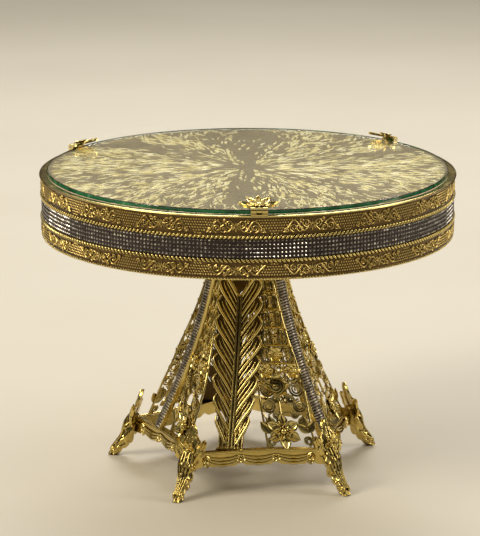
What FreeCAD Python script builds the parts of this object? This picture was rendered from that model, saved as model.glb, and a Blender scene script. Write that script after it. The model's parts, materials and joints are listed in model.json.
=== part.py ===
import FreeCAD
import Part
import math
import os

# Gold-plated pedestal stand for sweets: a glass-topped drum on an openwork foot.
# Millimetres, +Z up, origin on the floor under the middle of the drum.
# Angles are degrees round Z, 0 towards the front (-Y), positive towards +X.
# Each piece is drawn at the front, facing -Y, and then turned to its place.

# Base ring and feet
SIDES = 5
RING_CORNER = 86.0
RING_MIDDLE = 64.0
RING_TOP = 30.0
RING_DEPTH = 8.0
RING_WALL = 3.0
RAIL_WIDTH = 6.0
RAIL_THICK = 2.4
SWAG_COUNT = 3
SWAG_DROP = 3.0
SWAG_GAP_SHARE = 0.3
SWAG_BEND = 0.35
FOOT_TIP_RADIUS = 104.0
CREST_HEIGHT = 22.0
CREST_LEAN = 7.5
# Sections of a leg: share of the way from the ring's corner to the tip, share of the ring's
# height, lean from straight down, half width and half depth
LEG_SECTIONS = (
    (-0.10, 1.08, 20.0, 4.3, 3.1),
    (0.13, 0.77, 30.0, 6.2, 5.3),
    (0.33, 0.43, 42.0, 5.0, 4.6),
    (0.70, 0.19, 46.0, 3.6, 3.6),
    (1.00, -0.04, 35.0, 3.1, 2.6),
)
# Sections of a crest leaf: share of its lean, share of its height, tilt, half width, half depth
CREST_SECTIONS = (
    (0.0, -0.18, 5.0, 6.6, 2.0),
    (0.3, 0.35, 15.0, 7.2, 1.8),
    (0.7, 0.75, 20.0, 4.6, 1.3),
    (1.0, 1.00, 22.0, 0.9, 0.6),
)
OVAL_POINTS = 12

# Ribs and panels of the pedestal
PEDESTAL_HEIGHT = 146.5
PLATE_THICK = 3.0
PLATE_RADIUS = 27.0
RIB_SHIFT = 18.0
RIB_INSET = 2.7
RIB_TOP_RADIUS = 22.5
RIB_THICK = 2.6
FLARE_POWER = 1.6
FLARE_STEPS = 8
LEAF_ORDER = (True, False, False, True, False)
LEAF_STEM_HALF = 9.0
LEAF_STEM_HEIGHT = 8.0
LEAF_BASE_HALF = 7.6
LEAF_HALF = 16.5
LEAF_TOP_HALF = 10.0
LEAF_PEAK = 0.42
LOBE_COUNT = 10
LOBE_BULGE = 1.6
LOBE_RISE = 48.0
LOBE_CROWN = 0.6
SLOT_DROP = 0.35
SLOT_HALF = 1.7
MIDRIB_HALF = 1.9
MIDRIB_PROUD = 1.2
EDGE_BAR = 2.2
EYE_HALF = 6.0
EYE_HEIGHT = 26.0
EYE_DROP = 13.0
CHANNEL_HALF = 7.4
CHANNEL_EDGE = 1.3
CHANNEL_PROUD = 0.6
# Steps of a strip of stones, which is rounded across: share of its width, rise
STONE_STRIP_STEPS = ((1.0, 1.4), (0.84, 2.5), (0.55, 3.3))
STONE_STRIP_GAP = 0.05
LUG_THICK = 2.4
LUG_MARGIN = 1.5
PANEL_CORNER = 81.0
PANEL_MIDDLE = 62.5
PANEL_THICK = 2.0
PANEL_GAP = 0.4
PANEL_BORDER = 2.4
FLOWER_RADIUS = 11.0
FLOWER_HEIGHT = 10.5
FLOWER_PETALS = 6
FLOWER_BOSS = 3.4
PETAL_HALF = 3.8
CURL_RADIUS = 5.6
CURL_WIRE = 2.2
CURL_HEIGHTS = (28.0, 39.5)
ROSE_RADIUS = 8.2
ROSE_HEIGHT = 41.0
STEM_HALF = 1.1
FIELD_BOTTOM = 44.0
LATTICE_ROWS = 8
LATTICE_BAR = 1.8
GAP_SIDE = 0.6
GAP_HALF = 0.2
SQUARE_HALF = 0.16

# Drum and glass
DRUM_RADIUS = 150.0
DRUM_HEIGHT = 43.5
SHEET = 1.2
TRIM_STANDOFF = 2.8
BAND_THICK = 1.4
STONE_THICK = 1.6
STONE_ROWS = 5
STONE_BAND_HEIGHT = 13.8
STONE_RIDGE = 0.8
ROPE_RADIUS = 1.2
FOOT_ROPE_RADIUS = 0.75
TOP_STRIP_GAP = 0.2
LOWER_BAND_HEIGHT = 10.8
LIP_HEIGHT = 1.0
LIP_WIDTH = 5.4
LIP_ROUND = 0.4
BOARD_THICK = 1.0
GLASS_THICK = 3.0
GLASS_GAP = 0.6
GLASS_CHAMFER = 0.4
POST_RADIUS = 24.0
POST_WALL = 1.5

# Bolts that hold the drum to the pedestal
BOLT_COUNT = 3
BOLT_CIRCLE = 12.0
BOLT_RADIUS = 2.5
BOLT_HOLE_GAP = 0.25
BOLT_HEAD_RADIUS = 4.2
BOLT_HEAD_HEIGHT = 3.0
BOLT_STICK_OUT = 2.0
WASHER_RADIUS = 4.4
WASHER_THICK = 0.8
NUT_FLATS = 8.0
NUT_HEIGHT = 3.6

# Hinged claws over the edge of the glass
CLAW_ANGLES = {"front": -4.0, "right": 126.0, "left": -126.0}
PIN_RADIUS = 0.9
PIN_GAP = 0.08
KNUCKLE_RADIUS = 2.2
KNUCKLE_WIDTH = 3.8
WEB_HALF = 1.5
MOVING_GAP = 0.3
BRACKET_THICK = 0.8
BRACKET_EDGE_GAP = 0.2
ARM_THICK = 1.2
TOE_REACH = 4.0
FAN_PETALS = 5
FAN_SPREAD = 34.0
FAN_LENGTH = 14.5
FAN_PETAL_HALF = 2.8
FAN_HOLE_HALF = 1.2
FAN_HOLE_START = 6.2
FAN_HOLE_END = 12.6
FAN_STEM = 1.6
FAN_THICK = 1.2
FAN_LEAN = 74.0

# Heights and radii that follow from the sizes above
SIDE_ANGLE = 360.0 / SIDES
DRUM_BOTTOM = RING_TOP + PEDESTAL_HEIGHT
PLATE_BOTTOM = DRUM_BOTTOM - PLATE_THICK
DECK_TOP = DRUM_BOTTOM + DRUM_HEIGHT
DECK_BOTTOM = DECK_TOP - SHEET
FLOOR_TOP = DRUM_BOTTOM + SHEET
LIP_TOP = DECK_TOP + LIP_HEIGHT
GLASS_BOTTOM = DECK_TOP + BOARD_THICK
GLASS_TOP = GLASS_BOTTOM + GLASS_THICK
WALL_RADIUS = DRUM_RADIUS - TRIM_STANDOFF
GLASS_RADIUS = DRUM_RADIUS - LIP_WIDTH - GLASS_GAP
MIDDLE_ROPE_HEIGHT = DRUM_BOTTOM + 2 * FOOT_ROPE_RADIUS + LOWER_BAND_HEIGHT + ROPE_RADIUS
STONE_BOTTOM = MIDDLE_ROPE_HEIGHT + ROPE_RADIUS
STONE_TOP = STONE_BOTTOM + STONE_BAND_HEIGHT
UPPER_ROPE_HEIGHT = STONE_TOP + ROPE_RADIUS
UPPER_BAND_BOTTOM = UPPER_ROPE_HEIGHT + ROPE_RADIUS
HINGE_HALF = 1.5 * KNUCKLE_WIDTH
PIN_OUT = DRUM_RADIUS - KNUCKLE_RADIUS - MOVING_GAP
PIN_HEIGHT = LIP_TOP + BRACKET_THICK + MOVING_GAP + KNUCKLE_RADIUS
FAR = 4 * DRUM_RADIUS


def vec(x, y, z):
    return FreeCAD.Vector(x, y, z)


UP = vec(0, 0, 1)
ACROSS = vec(1, 0, 0)


def turned(shape, angle):
    copy = shape.copy()
    copy.rotate(vec(0, 0, 0), UP, angle)
    return copy


def disc(radius, bottom, height):
    return Part.makeCylinder(radius, height, vec(0, 0, bottom))


def hoop(outer, inner, bottom, height):
    return disc(outer, bottom, height).cut(disc(inner, bottom, height))


def block(x0, x1, out0, out1, z0, z1):
    return Part.makeBox(x1 - x0, out1 - out0, z1 - z0, vec(x0, -out1, z0))


def front_point(x, z):
    return vec(x, 0, z)


def closed_face(edges):
    return Part.Face(Part.Wire(Part.__sortEdges__(edges)))


def front_prism(face):
    """A flat outline seen from the front, carried from the axis outwards."""
    return face.extrude(vec(0, -FAR, 0))


def polygon_prism(points):
    corners = [front_point(x, z) for x, z in points]
    return front_prism(Part.Face(Part.makePolygon(corners + corners[:1])))


def bar_prism(start, end, half):
    """A straight bar of even width between two points of the front view."""
    dx = end[0] - start[0]
    dz = end[1] - start[1]
    length = math.hypot(dx, dz)
    nx = -dz / length * half
    nz = dx / length * half
    return polygon_prism([
        (start[0] + nx, start[1] + nz),
        (end[0] + nx, end[1] + nz),
        (end[0] - nx, end[1] - nz),
        (start[0] - nx, start[1] - nz),
    ])


def lens_face(start, end, half):
    """A pointed leaf shape between two points, bounded by two arcs."""
    dx = end[0] - start[0]
    dz = end[1] - start[1]
    length = math.hypot(dx, dz)
    middle_x = (start[0] + end[0]) / 2
    middle_z = (start[1] + end[1]) / 2
    nx = -dz / length * half
    nz = dx / length * half
    first = front_point(*start)
    last = front_point(*end)
    upper = Part.Arc(first, front_point(middle_x + nx, middle_z + nz), last)
    lower = Part.Arc(first, front_point(middle_x - nx, middle_z - nz), last)
    return closed_face([upper.toShape(), lower.toShape()])


def lens_prism(start, end, half):
    return front_prism(lens_face(start, end, half))


def round_prism(x, z, radius):
    return Part.makeCylinder(radius, FAR, front_point(x, z), vec(0, -1, 0))


def polar_point(angle, radius, start):
    """A point at an angle from straight up, seen from the front."""
    turn = math.radians(angle)
    return (start[0] + radius * math.sin(turn), start[1] + radius * math.cos(turn))


def on_circle(radius, angle, z):
    turn = math.radians(angle)
    return vec(radius * math.sin(turn), -radius * math.cos(turn), z)


# Base ring

def hollow_sides(corner, middle, inset, z):
    """Edges of an outline with hollow sides, moved inwards by the inset."""
    half = SIDE_ANGLE / 2
    run = corner * math.sin(math.radians(half))
    rise = corner * math.cos(math.radians(half)) - middle
    side_slope = math.radians(half) - 2 * math.atan2(rise, run)
    tip = corner - inset / math.cos(side_slope)
    edges = []
    for side in range(SIDES):
        angle = side * SIDE_ANGLE
        edges.append(Part.Arc(
            on_circle(tip, angle - half, z),
            on_circle(middle - inset, angle, z),
            on_circle(tip, angle + half, z),
        ).toShape())
    return edges


def ring_radius(angle):
    """Radius of the outline at an angle from the middle of a side."""
    half = math.radians(SIDE_ANGLE / 2)
    run = RING_CORNER * math.sin(half)
    rise = RING_CORNER * math.cos(half) - RING_MIDDLE
    bow = (run * run + rise * rise) / (2 * rise)
    turn = math.cos(math.radians(angle))
    centre = RING_MIDDLE + bow
    return centre * turn - math.sqrt(bow * bow - centre * centre * (1 - turn * turn))


SEAT_RADIUS = ring_radius(RIB_SHIFT)
RIB_FOOT_RADIUS = SEAT_RADIUS - RIB_INSET
RING_BOTTOM = RING_TOP - RING_DEPTH - SWAG_DROP


def ring_solid(inset, bottom, top):
    outline = closed_face(hollow_sides(RING_CORNER, RING_MIDDLE, inset, bottom))
    return outline.extrude(vec(0, 0, top - bottom))


def swag_gap(centre, half):
    """Pointed gap between two hanging swags, seen from the front."""
    low = RING_BOTTOM - 1
    top = front_point(centre, RING_TOP - RING_DEPTH)
    left = front_point(centre - half, low)
    right = front_point(centre + half, low)
    bend = half * SWAG_BEND
    middle = (low + RING_TOP - RING_DEPTH) / 2
    rising = Part.Arc(left, front_point(centre - bend, middle), top).toShape()
    falling = Part.Arc(top, front_point(centre + bend, middle), right).toShape()
    base = Part.LineSegment(right, left).toShape()
    return front_prism(closed_face([rising, falling, base]))


def rib_lug(half):
    inner = RIB_FOOT_RADIUS - RIB_THICK - LUG_MARGIN
    return block(-half, half, inner, RING_CORNER, RING_TOP - LUG_THICK, RING_TOP)


def make_base_ring():
    wall = ring_solid(0, RING_BOTTOM, RING_TOP).cut(ring_solid(RING_WALL, RING_BOTTOM, RING_TOP))
    rail_bottom = RING_TOP - RAIL_THICK
    rail = ring_solid(0, rail_bottom, RING_TOP).cut(ring_solid(RAIL_WIDTH, rail_bottom, RING_TOP))
    width = 2 * RING_CORNER * math.sin(math.radians(SIDE_ANGLE / 2)) / (SWAG_COUNT + 1)
    gaps = []
    lugs = []
    for side in range(SIDES):
        for step in range(SWAG_COUNT + 1):
            centre = (step - SWAG_COUNT / 2) * width
            gaps.append(turned(swag_gap(centre, width * SWAG_GAP_SHARE), side * SIDE_ANGLE))
        half = LEAF_STEM_HALF if LEAF_ORDER[side] else CHANNEL_HALF
        lug = rib_lug(half + LUG_MARGIN)
        lugs.append(turned(lug, side * SIDE_ANGLE - RIB_SHIFT))
    inside = ring_solid(0, RING_TOP - LUG_THICK, RING_TOP)
    seats = lugs[0].multiFuse(lugs[1:]).common(inside)
    return wall.cut(gaps).multiFuse([rail, seats]).removeSplitter()


# Feet

def oval_wire(out, z, lean, across, along):
    """Section of a leg, square to a line that leans outwards from straight down."""
    points = []
    for step in range(OVAL_POINTS):
        turn = 2 * math.pi * step / OVAL_POINTS
        points.append(vec(across * math.cos(turn), along * math.sin(turn), 0))
    curve = Part.BSplineCurve()
    curve.interpolate(points, True)
    wire = Part.Wire(curve.toShape())
    wire.rotate(vec(0, 0, 0), ACROSS, -lean)
    wire.translate(vec(0, -out, z))
    return wire


def make_leg():
    """Cabriole leg from above the ring's corner, over the knee, down to below the floor."""
    reach = FOOT_TIP_RADIUS - RING_CORNER
    sections = []
    for out, height, lean, across, along in LEG_SECTIONS:
        sections.append(oval_wire(RING_CORNER + out * reach, height * RING_TOP, lean, across, along))
    return Part.makeLoft(sections, True)


def make_crest():
    """Pointed leaf that stands on the corner of the ring and leans inwards."""
    sections = []
    for inwards, height, tilt, across, along in CREST_SECTIONS:
        out = RING_CORNER - inwards * CREST_LEAN
        sections.append(oval_wire(out, RING_TOP + height * CREST_HEIGHT, tilt, across, along))
    return Part.makeLoft(sections, True)


def make_foot(inside):
    floor = Part.makeBox(FAR, FAR, FAR, vec(-FAR / 2, -FAR / 2, -FAR))
    corner = turned(inside, SIDE_ANGLE / 2)
    return make_leg().fuse(make_crest()).cut([floor, corner])


# Ribs

def flare_radius(share):
    """Face radius of a rib at a share of its height, 0 at the foot and 1 at the top."""
    return RIB_TOP_RADIUS + (RIB_FOOT_RADIUS - RIB_TOP_RADIUS) * (1 - share) ** FLARE_POWER


def flare_curve(proud):
    points = []
    for step in range(FLARE_STEPS + 1):
        share = step / FLARE_STEPS
        z = RING_TOP + share * (PLATE_BOTTOM - RING_TOP)
        points.append(vec(0, -flare_radius(share) - proud, z))
    curve = Part.BSplineCurve()
    curve.interpolate(points)
    return curve.toShape(), points[0], points[-1]


def flare_sheet(left, right, back, proud):
    """Flared strip between two distances from the rib's face."""
    face_edge, face_foot, face_top = flare_curve(proud)
    back_edge, back_foot, back_top = flare_curve(back)
    outline = closed_face([
        face_edge,
        back_edge,
        Part.LineSegment(face_foot, back_foot).toShape(),
        Part.LineSegment(face_top, back_top).toShape(),
    ])
    outline.translate(vec(left, 0, 0))
    return outline.extrude(vec(right - left, 0, 0))


LOBES_BOTTOM = RING_TOP + LEAF_STEM_HEIGHT
LOBE_PITCH = (PLATE_BOTTOM - LOBES_BOTTOM) / LOBE_COUNT


def leaf_half(z):
    """Half width of the leaf between its lobes at a height."""
    share = (z - LOBES_BOTTOM) / (PLATE_BOTTOM - LOBES_BOTTOM)
    if share < LEAF_PEAK:
        end_half = LEAF_BASE_HALF
        away = (LEAF_PEAK - share) / LEAF_PEAK
    else:
        end_half = LEAF_TOP_HALF
        away = (share - LEAF_PEAK) / (1 - LEAF_PEAK)
    return LEAF_HALF - LOBE_BULGE - (LEAF_HALF - LOBE_BULGE - end_half) * away * away


def leaf_outline():
    """Stem and a row of lobes up each edge."""
    edges = []
    top_half = leaf_half(PLATE_BOTTOM)
    for sign in (-1, 1):
        stem_foot = front_point(sign * LEAF_STEM_HALF, RING_TOP)
        stem_top = front_point(sign * LEAF_STEM_HALF, LOBES_BOTTOM)
        edges.append(Part.LineSegment(stem_foot, stem_top).toShape())
        start = front_point(sign * leaf_half(LOBES_BOTTOM), LOBES_BOTTOM)
        edges.append(Part.LineSegment(stem_top, start).toShape())
        for lobe in range(LOBE_COUNT):
            z0 = LOBES_BOTTOM + lobe * LOBE_PITCH
            z1 = z0 + LOBE_PITCH
            z_bulge = z0 + LOBE_CROWN * LOBE_PITCH
            bulge = leaf_half(z_bulge) + LOBE_BULGE
            edges.append(Part.Arc(
                front_point(sign * leaf_half(z0), z0),
                front_point(sign * bulge, z_bulge),
                front_point(sign * leaf_half(z1), z1),
            ).toShape())
    edges.append(Part.LineSegment(
        front_point(-top_half, PLATE_BOTTOM), front_point(top_half, PLATE_BOTTOM)).toShape())
    edges.append(Part.LineSegment(
        front_point(-LEAF_STEM_HALF, RING_TOP), front_point(LEAF_STEM_HALF, RING_TOP)).toShape())
    return closed_face(edges)


def lobe_slots():
    """Pointed openings between the midrib and the lobes, rising outwards."""
    slots = []
    climb = math.tan(math.radians(LOBE_RISE))
    inner = MIDRIB_HALF + SLOT_HALF / 2
    eye_bottom = PLATE_BOTTOM - EYE_DROP - EYE_HEIGHT - EDGE_BAR
    for lobe in range(LOBE_COUNT):
        z0 = LOBES_BOTTOM + (lobe - SLOT_DROP) * LOBE_PITCH
        outer = leaf_half(z0 + LEAF_HALF) - EDGE_BAR + LOBE_BULGE / 2
        z1 = z0 + (outer - inner) * climb
        if z0 < LOBES_BOTTOM - LEAF_STEM_HEIGHT / 2 or z1 > eye_bottom:
            continue
        for sign in (-1, 1):
            slots.append(lens_prism((sign * inner, z0), (sign * outer, z1), SLOT_HALF))
    return slots


def make_leaf_rib():
    sheet = flare_sheet(-LEAF_HALF, LEAF_HALF, -RIB_THICK, 0)
    leaf = sheet.common(front_prism(leaf_outline()))
    eye_top = PLATE_BOTTOM - EYE_DROP
    eye = lens_prism((0, eye_top - EYE_HEIGHT), (0, eye_top), EYE_HALF)
    midrib = flare_sheet(-MIDRIB_HALF, MIDRIB_HALF, -RIB_THICK, MIDRIB_PROUD)
    return leaf.cut(lobe_slots()).fuse(midrib).cut(eye).removeSplitter()


def make_stone_rib():
    """Channel with two raised edges."""
    inner = CHANNEL_HALF - CHANNEL_EDGE
    floor = flare_sheet(-inner, inner, -RIB_THICK, 0)
    left = flare_sheet(-CHANNEL_HALF, -inner, -RIB_THICK, CHANNEL_PROUD)
    right = flare_sheet(inner, CHANNEL_HALF, -RIB_THICK, CHANNEL_PROUD)
    return floor.multiFuse([left, right]).removeSplitter()


def make_rib_stones():
    """Strip that is rounded across in steps."""
    half = CHANNEL_HALF - CHANNEL_EDGE - STONE_STRIP_GAP
    steps = []
    for share, rise in STONE_STRIP_STEPS:
        steps.append(flare_sheet(-share * half, share * half, STONE_STRIP_GAP, rise))
    return steps[0].multiFuse(steps[1:]).removeSplitter()


# Filigree panels

def flared_core(inset):
    """Five-sided body with hollow sides that flares like the ribs."""
    sections = []
    for step in range(FLARE_STEPS + 1):
        share = step / FLARE_STEPS
        scale = flare_radius(share) / RIB_FOOT_RADIUS
        z = RING_TOP + share * (PLATE_BOTTOM - RING_TOP)
        edges = hollow_sides(PANEL_CORNER * scale, PANEL_MIDDLE * scale, inset, z)
        sections.append(Part.Wire(edges))
    return Part.makeLoft(sections, True)


def panel_skin():
    """Thin flared skin, turned so that the middle of a panel is at the front."""
    return turned(flared_core(0).cut(flared_core(PANEL_THICK)), -RIB_SHIFT)


def panel_room(z, beside_leaf):
    """Half width left for a panel at a height, up to the back edge of the rib beside it."""
    share = (z - RING_TOP) / (PLATE_BOTTOM - RING_TOP)
    rib_half = leaf_half(z) + LOBE_BULGE if beside_leaf else CHANNEL_HALF
    turn = math.radians(SIDE_ANGLE / 2)
    back = flare_radius(share) - RIB_THICK
    return back * math.sin(turn) - rib_half * math.cos(turn) - PANEL_GAP


def border_room(z, beside_leaf):
    """Half width out to a panel's border, which runs straight down below the lattice field."""
    return panel_room(max(z, RING_TOP + FIELD_BOTTOM), beside_leaf)


def border_prism(sign, beside_leaf):
    """Bar along the rib beside a panel, from the ring to the plate."""
    outer = []
    inner = []
    for step in range(2 * LATTICE_ROWS + 1):
        z = RING_TOP + step * (PLATE_BOTTOM - RING_TOP) / (2 * LATTICE_ROWS)
        room = border_room(z, beside_leaf)
        outer.append((sign * room, z))
        inner.append((sign * (room - PANEL_BORDER), z))
    return polygon_prism(outer + inner[::-1])


def flower_prisms():
    middle = (0, RING_TOP + FLOWER_HEIGHT)
    prisms = [round_prism(*middle, FLOWER_BOSS)]
    for petal in range(FLOWER_PETALS):
        tip = polar_point(petal * 360.0 / FLOWER_PETALS, FLOWER_RADIUS, middle)
        prisms.append(lens_prism(middle, tip, PETAL_HALF))
    rose = (0, RING_TOP + ROSE_HEIGHT)
    prisms.append(round_prism(*rose, ROSE_RADIUS))
    prisms.append(bar_prism((0, RING_TOP), rose, STEM_HALF))
    return prisms


def curl_prisms(sign, beside_leaf):
    prisms = []
    for height in CURL_HEIGHTS:
        z = RING_TOP + height
        side = sign * (border_room(z, beside_leaf) - CURL_RADIUS)
        outer = round_prism(side, z, CURL_RADIUS)
        prisms.append(outer.cut(round_prism(side, z, CURL_RADIUS - CURL_WIRE)))
    return prisms


def field_rows(left_leaf, right_leaf):
    """Height, middle and half width of the lattice field at the ends of its rows."""
    bottom = RING_TOP + FIELD_BOTTOM
    rows = []
    for row in range(LATTICE_ROWS + 1):
        z = bottom + row * (PLATE_BOTTOM - bottom) / LATTICE_ROWS
        left = panel_room(z, left_leaf) - PANEL_BORDER / 2
        right = panel_room(z, right_leaf) - PANEL_BORDER / 2
        rows.append((z, (right - left) / 2, (right + left) / 2))
    return rows


def lattice_gaps(rows):
    """A leaf-shaped gap in each half of a row, and a square one in its middle."""
    gaps = []
    for (z0, middle0, half0), (z1, middle1, half1) in zip(rows[:-1], rows[1:]):
        middle = (middle0 + middle1) / 2
        half = (half0 + half1) / 2
        for sign in (-1, 1):
            side = middle + sign * GAP_SIDE * half
            gaps.append(lens_prism((side, z0 + LATTICE_BAR), (side, z1 - LATTICE_BAR), GAP_HALF * half))
        square = SQUARE_HALF * half
        z = (z0 + z1) / 2
        gaps.append(polygon_prism([
            (middle - square, z - square), (middle + square, z - square),
            (middle + square, z + square), (middle - square, z + square)]))
    return gaps


def field_prism(left_leaf, right_leaf):
    rows = field_rows(left_leaf, right_leaf)
    left_edge = [(middle - half, z) for z, middle, half in rows]
    right_edge = [(middle + half, z) for z, middle, half in rows]
    return polygon_prism(left_edge + right_edge[::-1]).cut(lattice_gaps(rows))


def make_filigree(skin, left_leaf, right_leaf):
    motifs = [field_prism(left_leaf, right_leaf)] + flower_prisms()
    for sign, beside_leaf in ((-1, left_leaf), (1, right_leaf)):
        motifs.append(border_prism(sign, beside_leaf))
        motifs += curl_prisms(sign, beside_leaf)
    return skin.common(motifs[0].multiFuse(motifs[1:]))


# Drum

def bolt_holes(radius, bottom, height):
    holes = []
    for step in range(BOLT_COUNT):
        place = on_circle(BOLT_CIRCLE, step * 360.0 / BOLT_COUNT, bottom)
        holes.append(Part.makeCylinder(radius, height, place))
    return holes


def make_drum():
    hole = BOLT_RADIUS + BOLT_HOLE_GAP
    wall_height = DECK_BOTTOM - FLOOR_TOP
    floor_holes = bolt_holes(hole, DRUM_BOTTOM, SHEET)
    band_bottom = DRUM_BOTTOM + 2 * FOOT_ROPE_RADIUS
    rope_out = WALL_RADIUS + ROPE_RADIUS
    foot_rope_out = WALL_RADIUS + FOOT_ROPE_RADIUS
    band_out = WALL_RADIUS + BAND_THICK
    upper_height = DECK_TOP - TOP_STRIP_GAP - UPPER_BAND_BOTTOM
    return {
        "drum_wall": hoop(WALL_RADIUS, WALL_RADIUS - SHEET, FLOOR_TOP, wall_height),
        "drum_floor": disc(WALL_RADIUS, DRUM_BOTTOM, SHEET).cut(floor_holes),
        "deck_plate": disc(WALL_RADIUS, DECK_BOTTOM, SHEET),
        "deck_post": hoop(POST_RADIUS, POST_RADIUS - POST_WALL, FLOOR_TOP, wall_height),
        "bottom_rope": Part.makeTorus(
            foot_rope_out, FOOT_ROPE_RADIUS, vec(0, 0, DRUM_BOTTOM + FOOT_ROPE_RADIUS)),
        "lower_band": hoop(band_out, WALL_RADIUS, band_bottom, LOWER_BAND_HEIGHT),
        "middle_rope": Part.makeTorus(rope_out, ROPE_RADIUS, vec(0, 0, MIDDLE_ROPE_HEIGHT)),
        "stone_mesh": make_stone_mesh(),
        "upper_rope": Part.makeTorus(rope_out, ROPE_RADIUS, vec(0, 0, UPPER_ROPE_HEIGHT)),
        "upper_band": hoop(band_out, WALL_RADIUS, UPPER_BAND_BOTTOM, upper_height),
        "rim_lip": make_rim_lip(),
        "foil_board": disc(GLASS_RADIUS, DECK_TOP, BOARD_THICK),
        "glass_plate": make_glass(),
    }


def make_stone_mesh():
    """Ring with one rounded ridge for each row of stones."""
    pitch = STONE_BAND_HEIGHT / STONE_ROWS
    back = WALL_RADIUS
    face = WALL_RADIUS + STONE_THICK - STONE_RIDGE
    edges = [Part.LineSegment(vec(back, 0, STONE_BOTTOM), vec(face, 0, STONE_BOTTOM)).toShape()]
    for row in range(STONE_ROWS):
        z = STONE_BOTTOM + row * pitch
        edges.append(Part.Arc(
            vec(face, 0, z), vec(face + STONE_RIDGE, 0, z + pitch / 2), vec(face, 0, z + pitch)).toShape())
    edges.append(Part.LineSegment(vec(face, 0, STONE_TOP), vec(back, 0, STONE_TOP)).toShape())
    edges.append(Part.LineSegment(vec(back, 0, STONE_TOP), vec(back, 0, STONE_BOTTOM)).toShape())
    return closed_face(edges).revolve(vec(0, 0, 0), UP, 360)


def make_rim_lip():
    lip = hoop(DRUM_RADIUS, DRUM_RADIUS - LIP_WIDTH, DECK_TOP, LIP_HEIGHT)
    outer = [edge for edge in lip.Edges if abs(edge.BoundBox.XMax - DRUM_RADIUS) < 0.01]
    round_edges = [edge for edge in outer if edge.BoundBox.ZLength < 0.01]
    return lip.makeFillet(LIP_ROUND, round_edges)


def make_glass():
    glass = disc(GLASS_RADIUS, GLASS_BOTTOM, GLASS_THICK)
    edges = [edge for edge in glass.Edges if edge.BoundBox.ZLength < 0.01]
    return glass.makeChamfer(GLASS_CHAMFER, edges)


# Plate and bolts between pedestal and drum

def make_fixings():
    hole = BOLT_RADIUS + BOLT_HOLE_GAP
    grip = PLATE_THICK + SHEET + WASHER_THICK + NUT_HEIGHT
    washer_bottom = FLOOR_TOP
    nut_bottom = washer_bottom + WASHER_THICK
    nut_radius = NUT_FLATS / math.sqrt(3)
    bolts = []
    washers = []
    nuts = []
    for step in range(BOLT_COUNT):
        angle = step * 360.0 / BOLT_COUNT
        place = on_circle(BOLT_CIRCLE, angle, 0)
        head = Part.makeCylinder(
            BOLT_HEAD_RADIUS, BOLT_HEAD_HEIGHT, place + vec(0, 0, PLATE_BOTTOM - BOLT_HEAD_HEIGHT))
        shank = Part.makeCylinder(BOLT_RADIUS, grip + BOLT_STICK_OUT, place + vec(0, 0, PLATE_BOTTOM))
        bolts.append(head.fuse(shank))
        through = Part.makeCylinder(hole, FAR, place)
        washer = Part.makeCylinder(WASHER_RADIUS, WASHER_THICK, place + vec(0, 0, washer_bottom))
        washers.append(washer.cut(through))
        corners = [place + on_circle(nut_radius, turn * 60.0, nut_bottom) for turn in range(7)]
        nut = Part.Face(Part.makePolygon(corners)).extrude(vec(0, 0, NUT_HEIGHT))
        nuts.append(nut.cut(Part.makeCylinder(BOLT_RADIUS, FAR, place)))
    plate = disc(PLATE_RADIUS, PLATE_BOTTOM, PLATE_THICK).cut(bolt_holes(hole, PLATE_BOTTOM, PLATE_THICK))
    return {
        "pedestal_plate": plate,
        "tray_bolts": Part.makeCompound(bolts),
        "tray_washers": Part.makeCompound(washers),
        "tray_nuts": Part.makeCompound(nuts),
    }


# Claws

def knuckle(left, right, radius):
    return Part.makeCylinder(radius, right - left, vec(left, -PIN_OUT, PIN_HEIGHT), ACROSS)


def make_claw_bracket():
    """Base plate on the lip with two knuckles, one each side of the claw's own."""
    half = HINGE_HALF
    inner = GLASS_RADIUS + GLASS_GAP + BRACKET_EDGE_GAP
    base = block(-half, half, inner, DRUM_RADIUS - BRACKET_EDGE_GAP, LIP_TOP, LIP_TOP + BRACKET_THICK)
    pieces = []
    for left in (-half, KNUCKLE_WIDTH / 2):
        right = left + KNUCKLE_WIDTH
        web = block(left, right, PIN_OUT - WEB_HALF, PIN_OUT + WEB_HALF, LIP_TOP, PIN_HEIGHT)
        pieces += [knuckle(left, right, KNUCKLE_RADIUS), web]
    return base.multiFuse(pieces).cut(knuckle(-half, half, PIN_RADIUS)).removeSplitter()


def make_claw_pin():
    half = HINGE_HALF
    return knuckle(-half, half, PIN_RADIUS)


def fan_plate():
    """Five open petals drawn upright on the pin's line, then leaned over the glass."""
    centre = (0, FAN_STEM)
    solid = [bar_prism((0, 0), (0, FAN_STEM + FAN_LENGTH / 2), ARM_THICK)]
    holes = []
    for petal in range(FAN_PETALS):
        angle = (petal - (FAN_PETALS - 1) / 2) * FAN_SPREAD
        tip = polar_point(angle, FAN_LENGTH, centre)
        solid.append(lens_prism(centre, tip, FAN_PETAL_HALF))
        hole_start = polar_point(angle, FAN_HOLE_START, centre)
        hole_end = polar_point(angle, FAN_HOLE_END, centre)
        holes.append(lens_prism(hole_start, hole_end, FAN_HOLE_HALF))
    slab = block(-FAR, FAR, 0, FAN_THICK, -FAR, FAR)
    fan = solid[0].multiFuse(solid[1:]).cut(holes).common(slab)
    fan.rotate(vec(0, 0, 0), ACROSS, -FAN_LEAN)
    return fan


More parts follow.
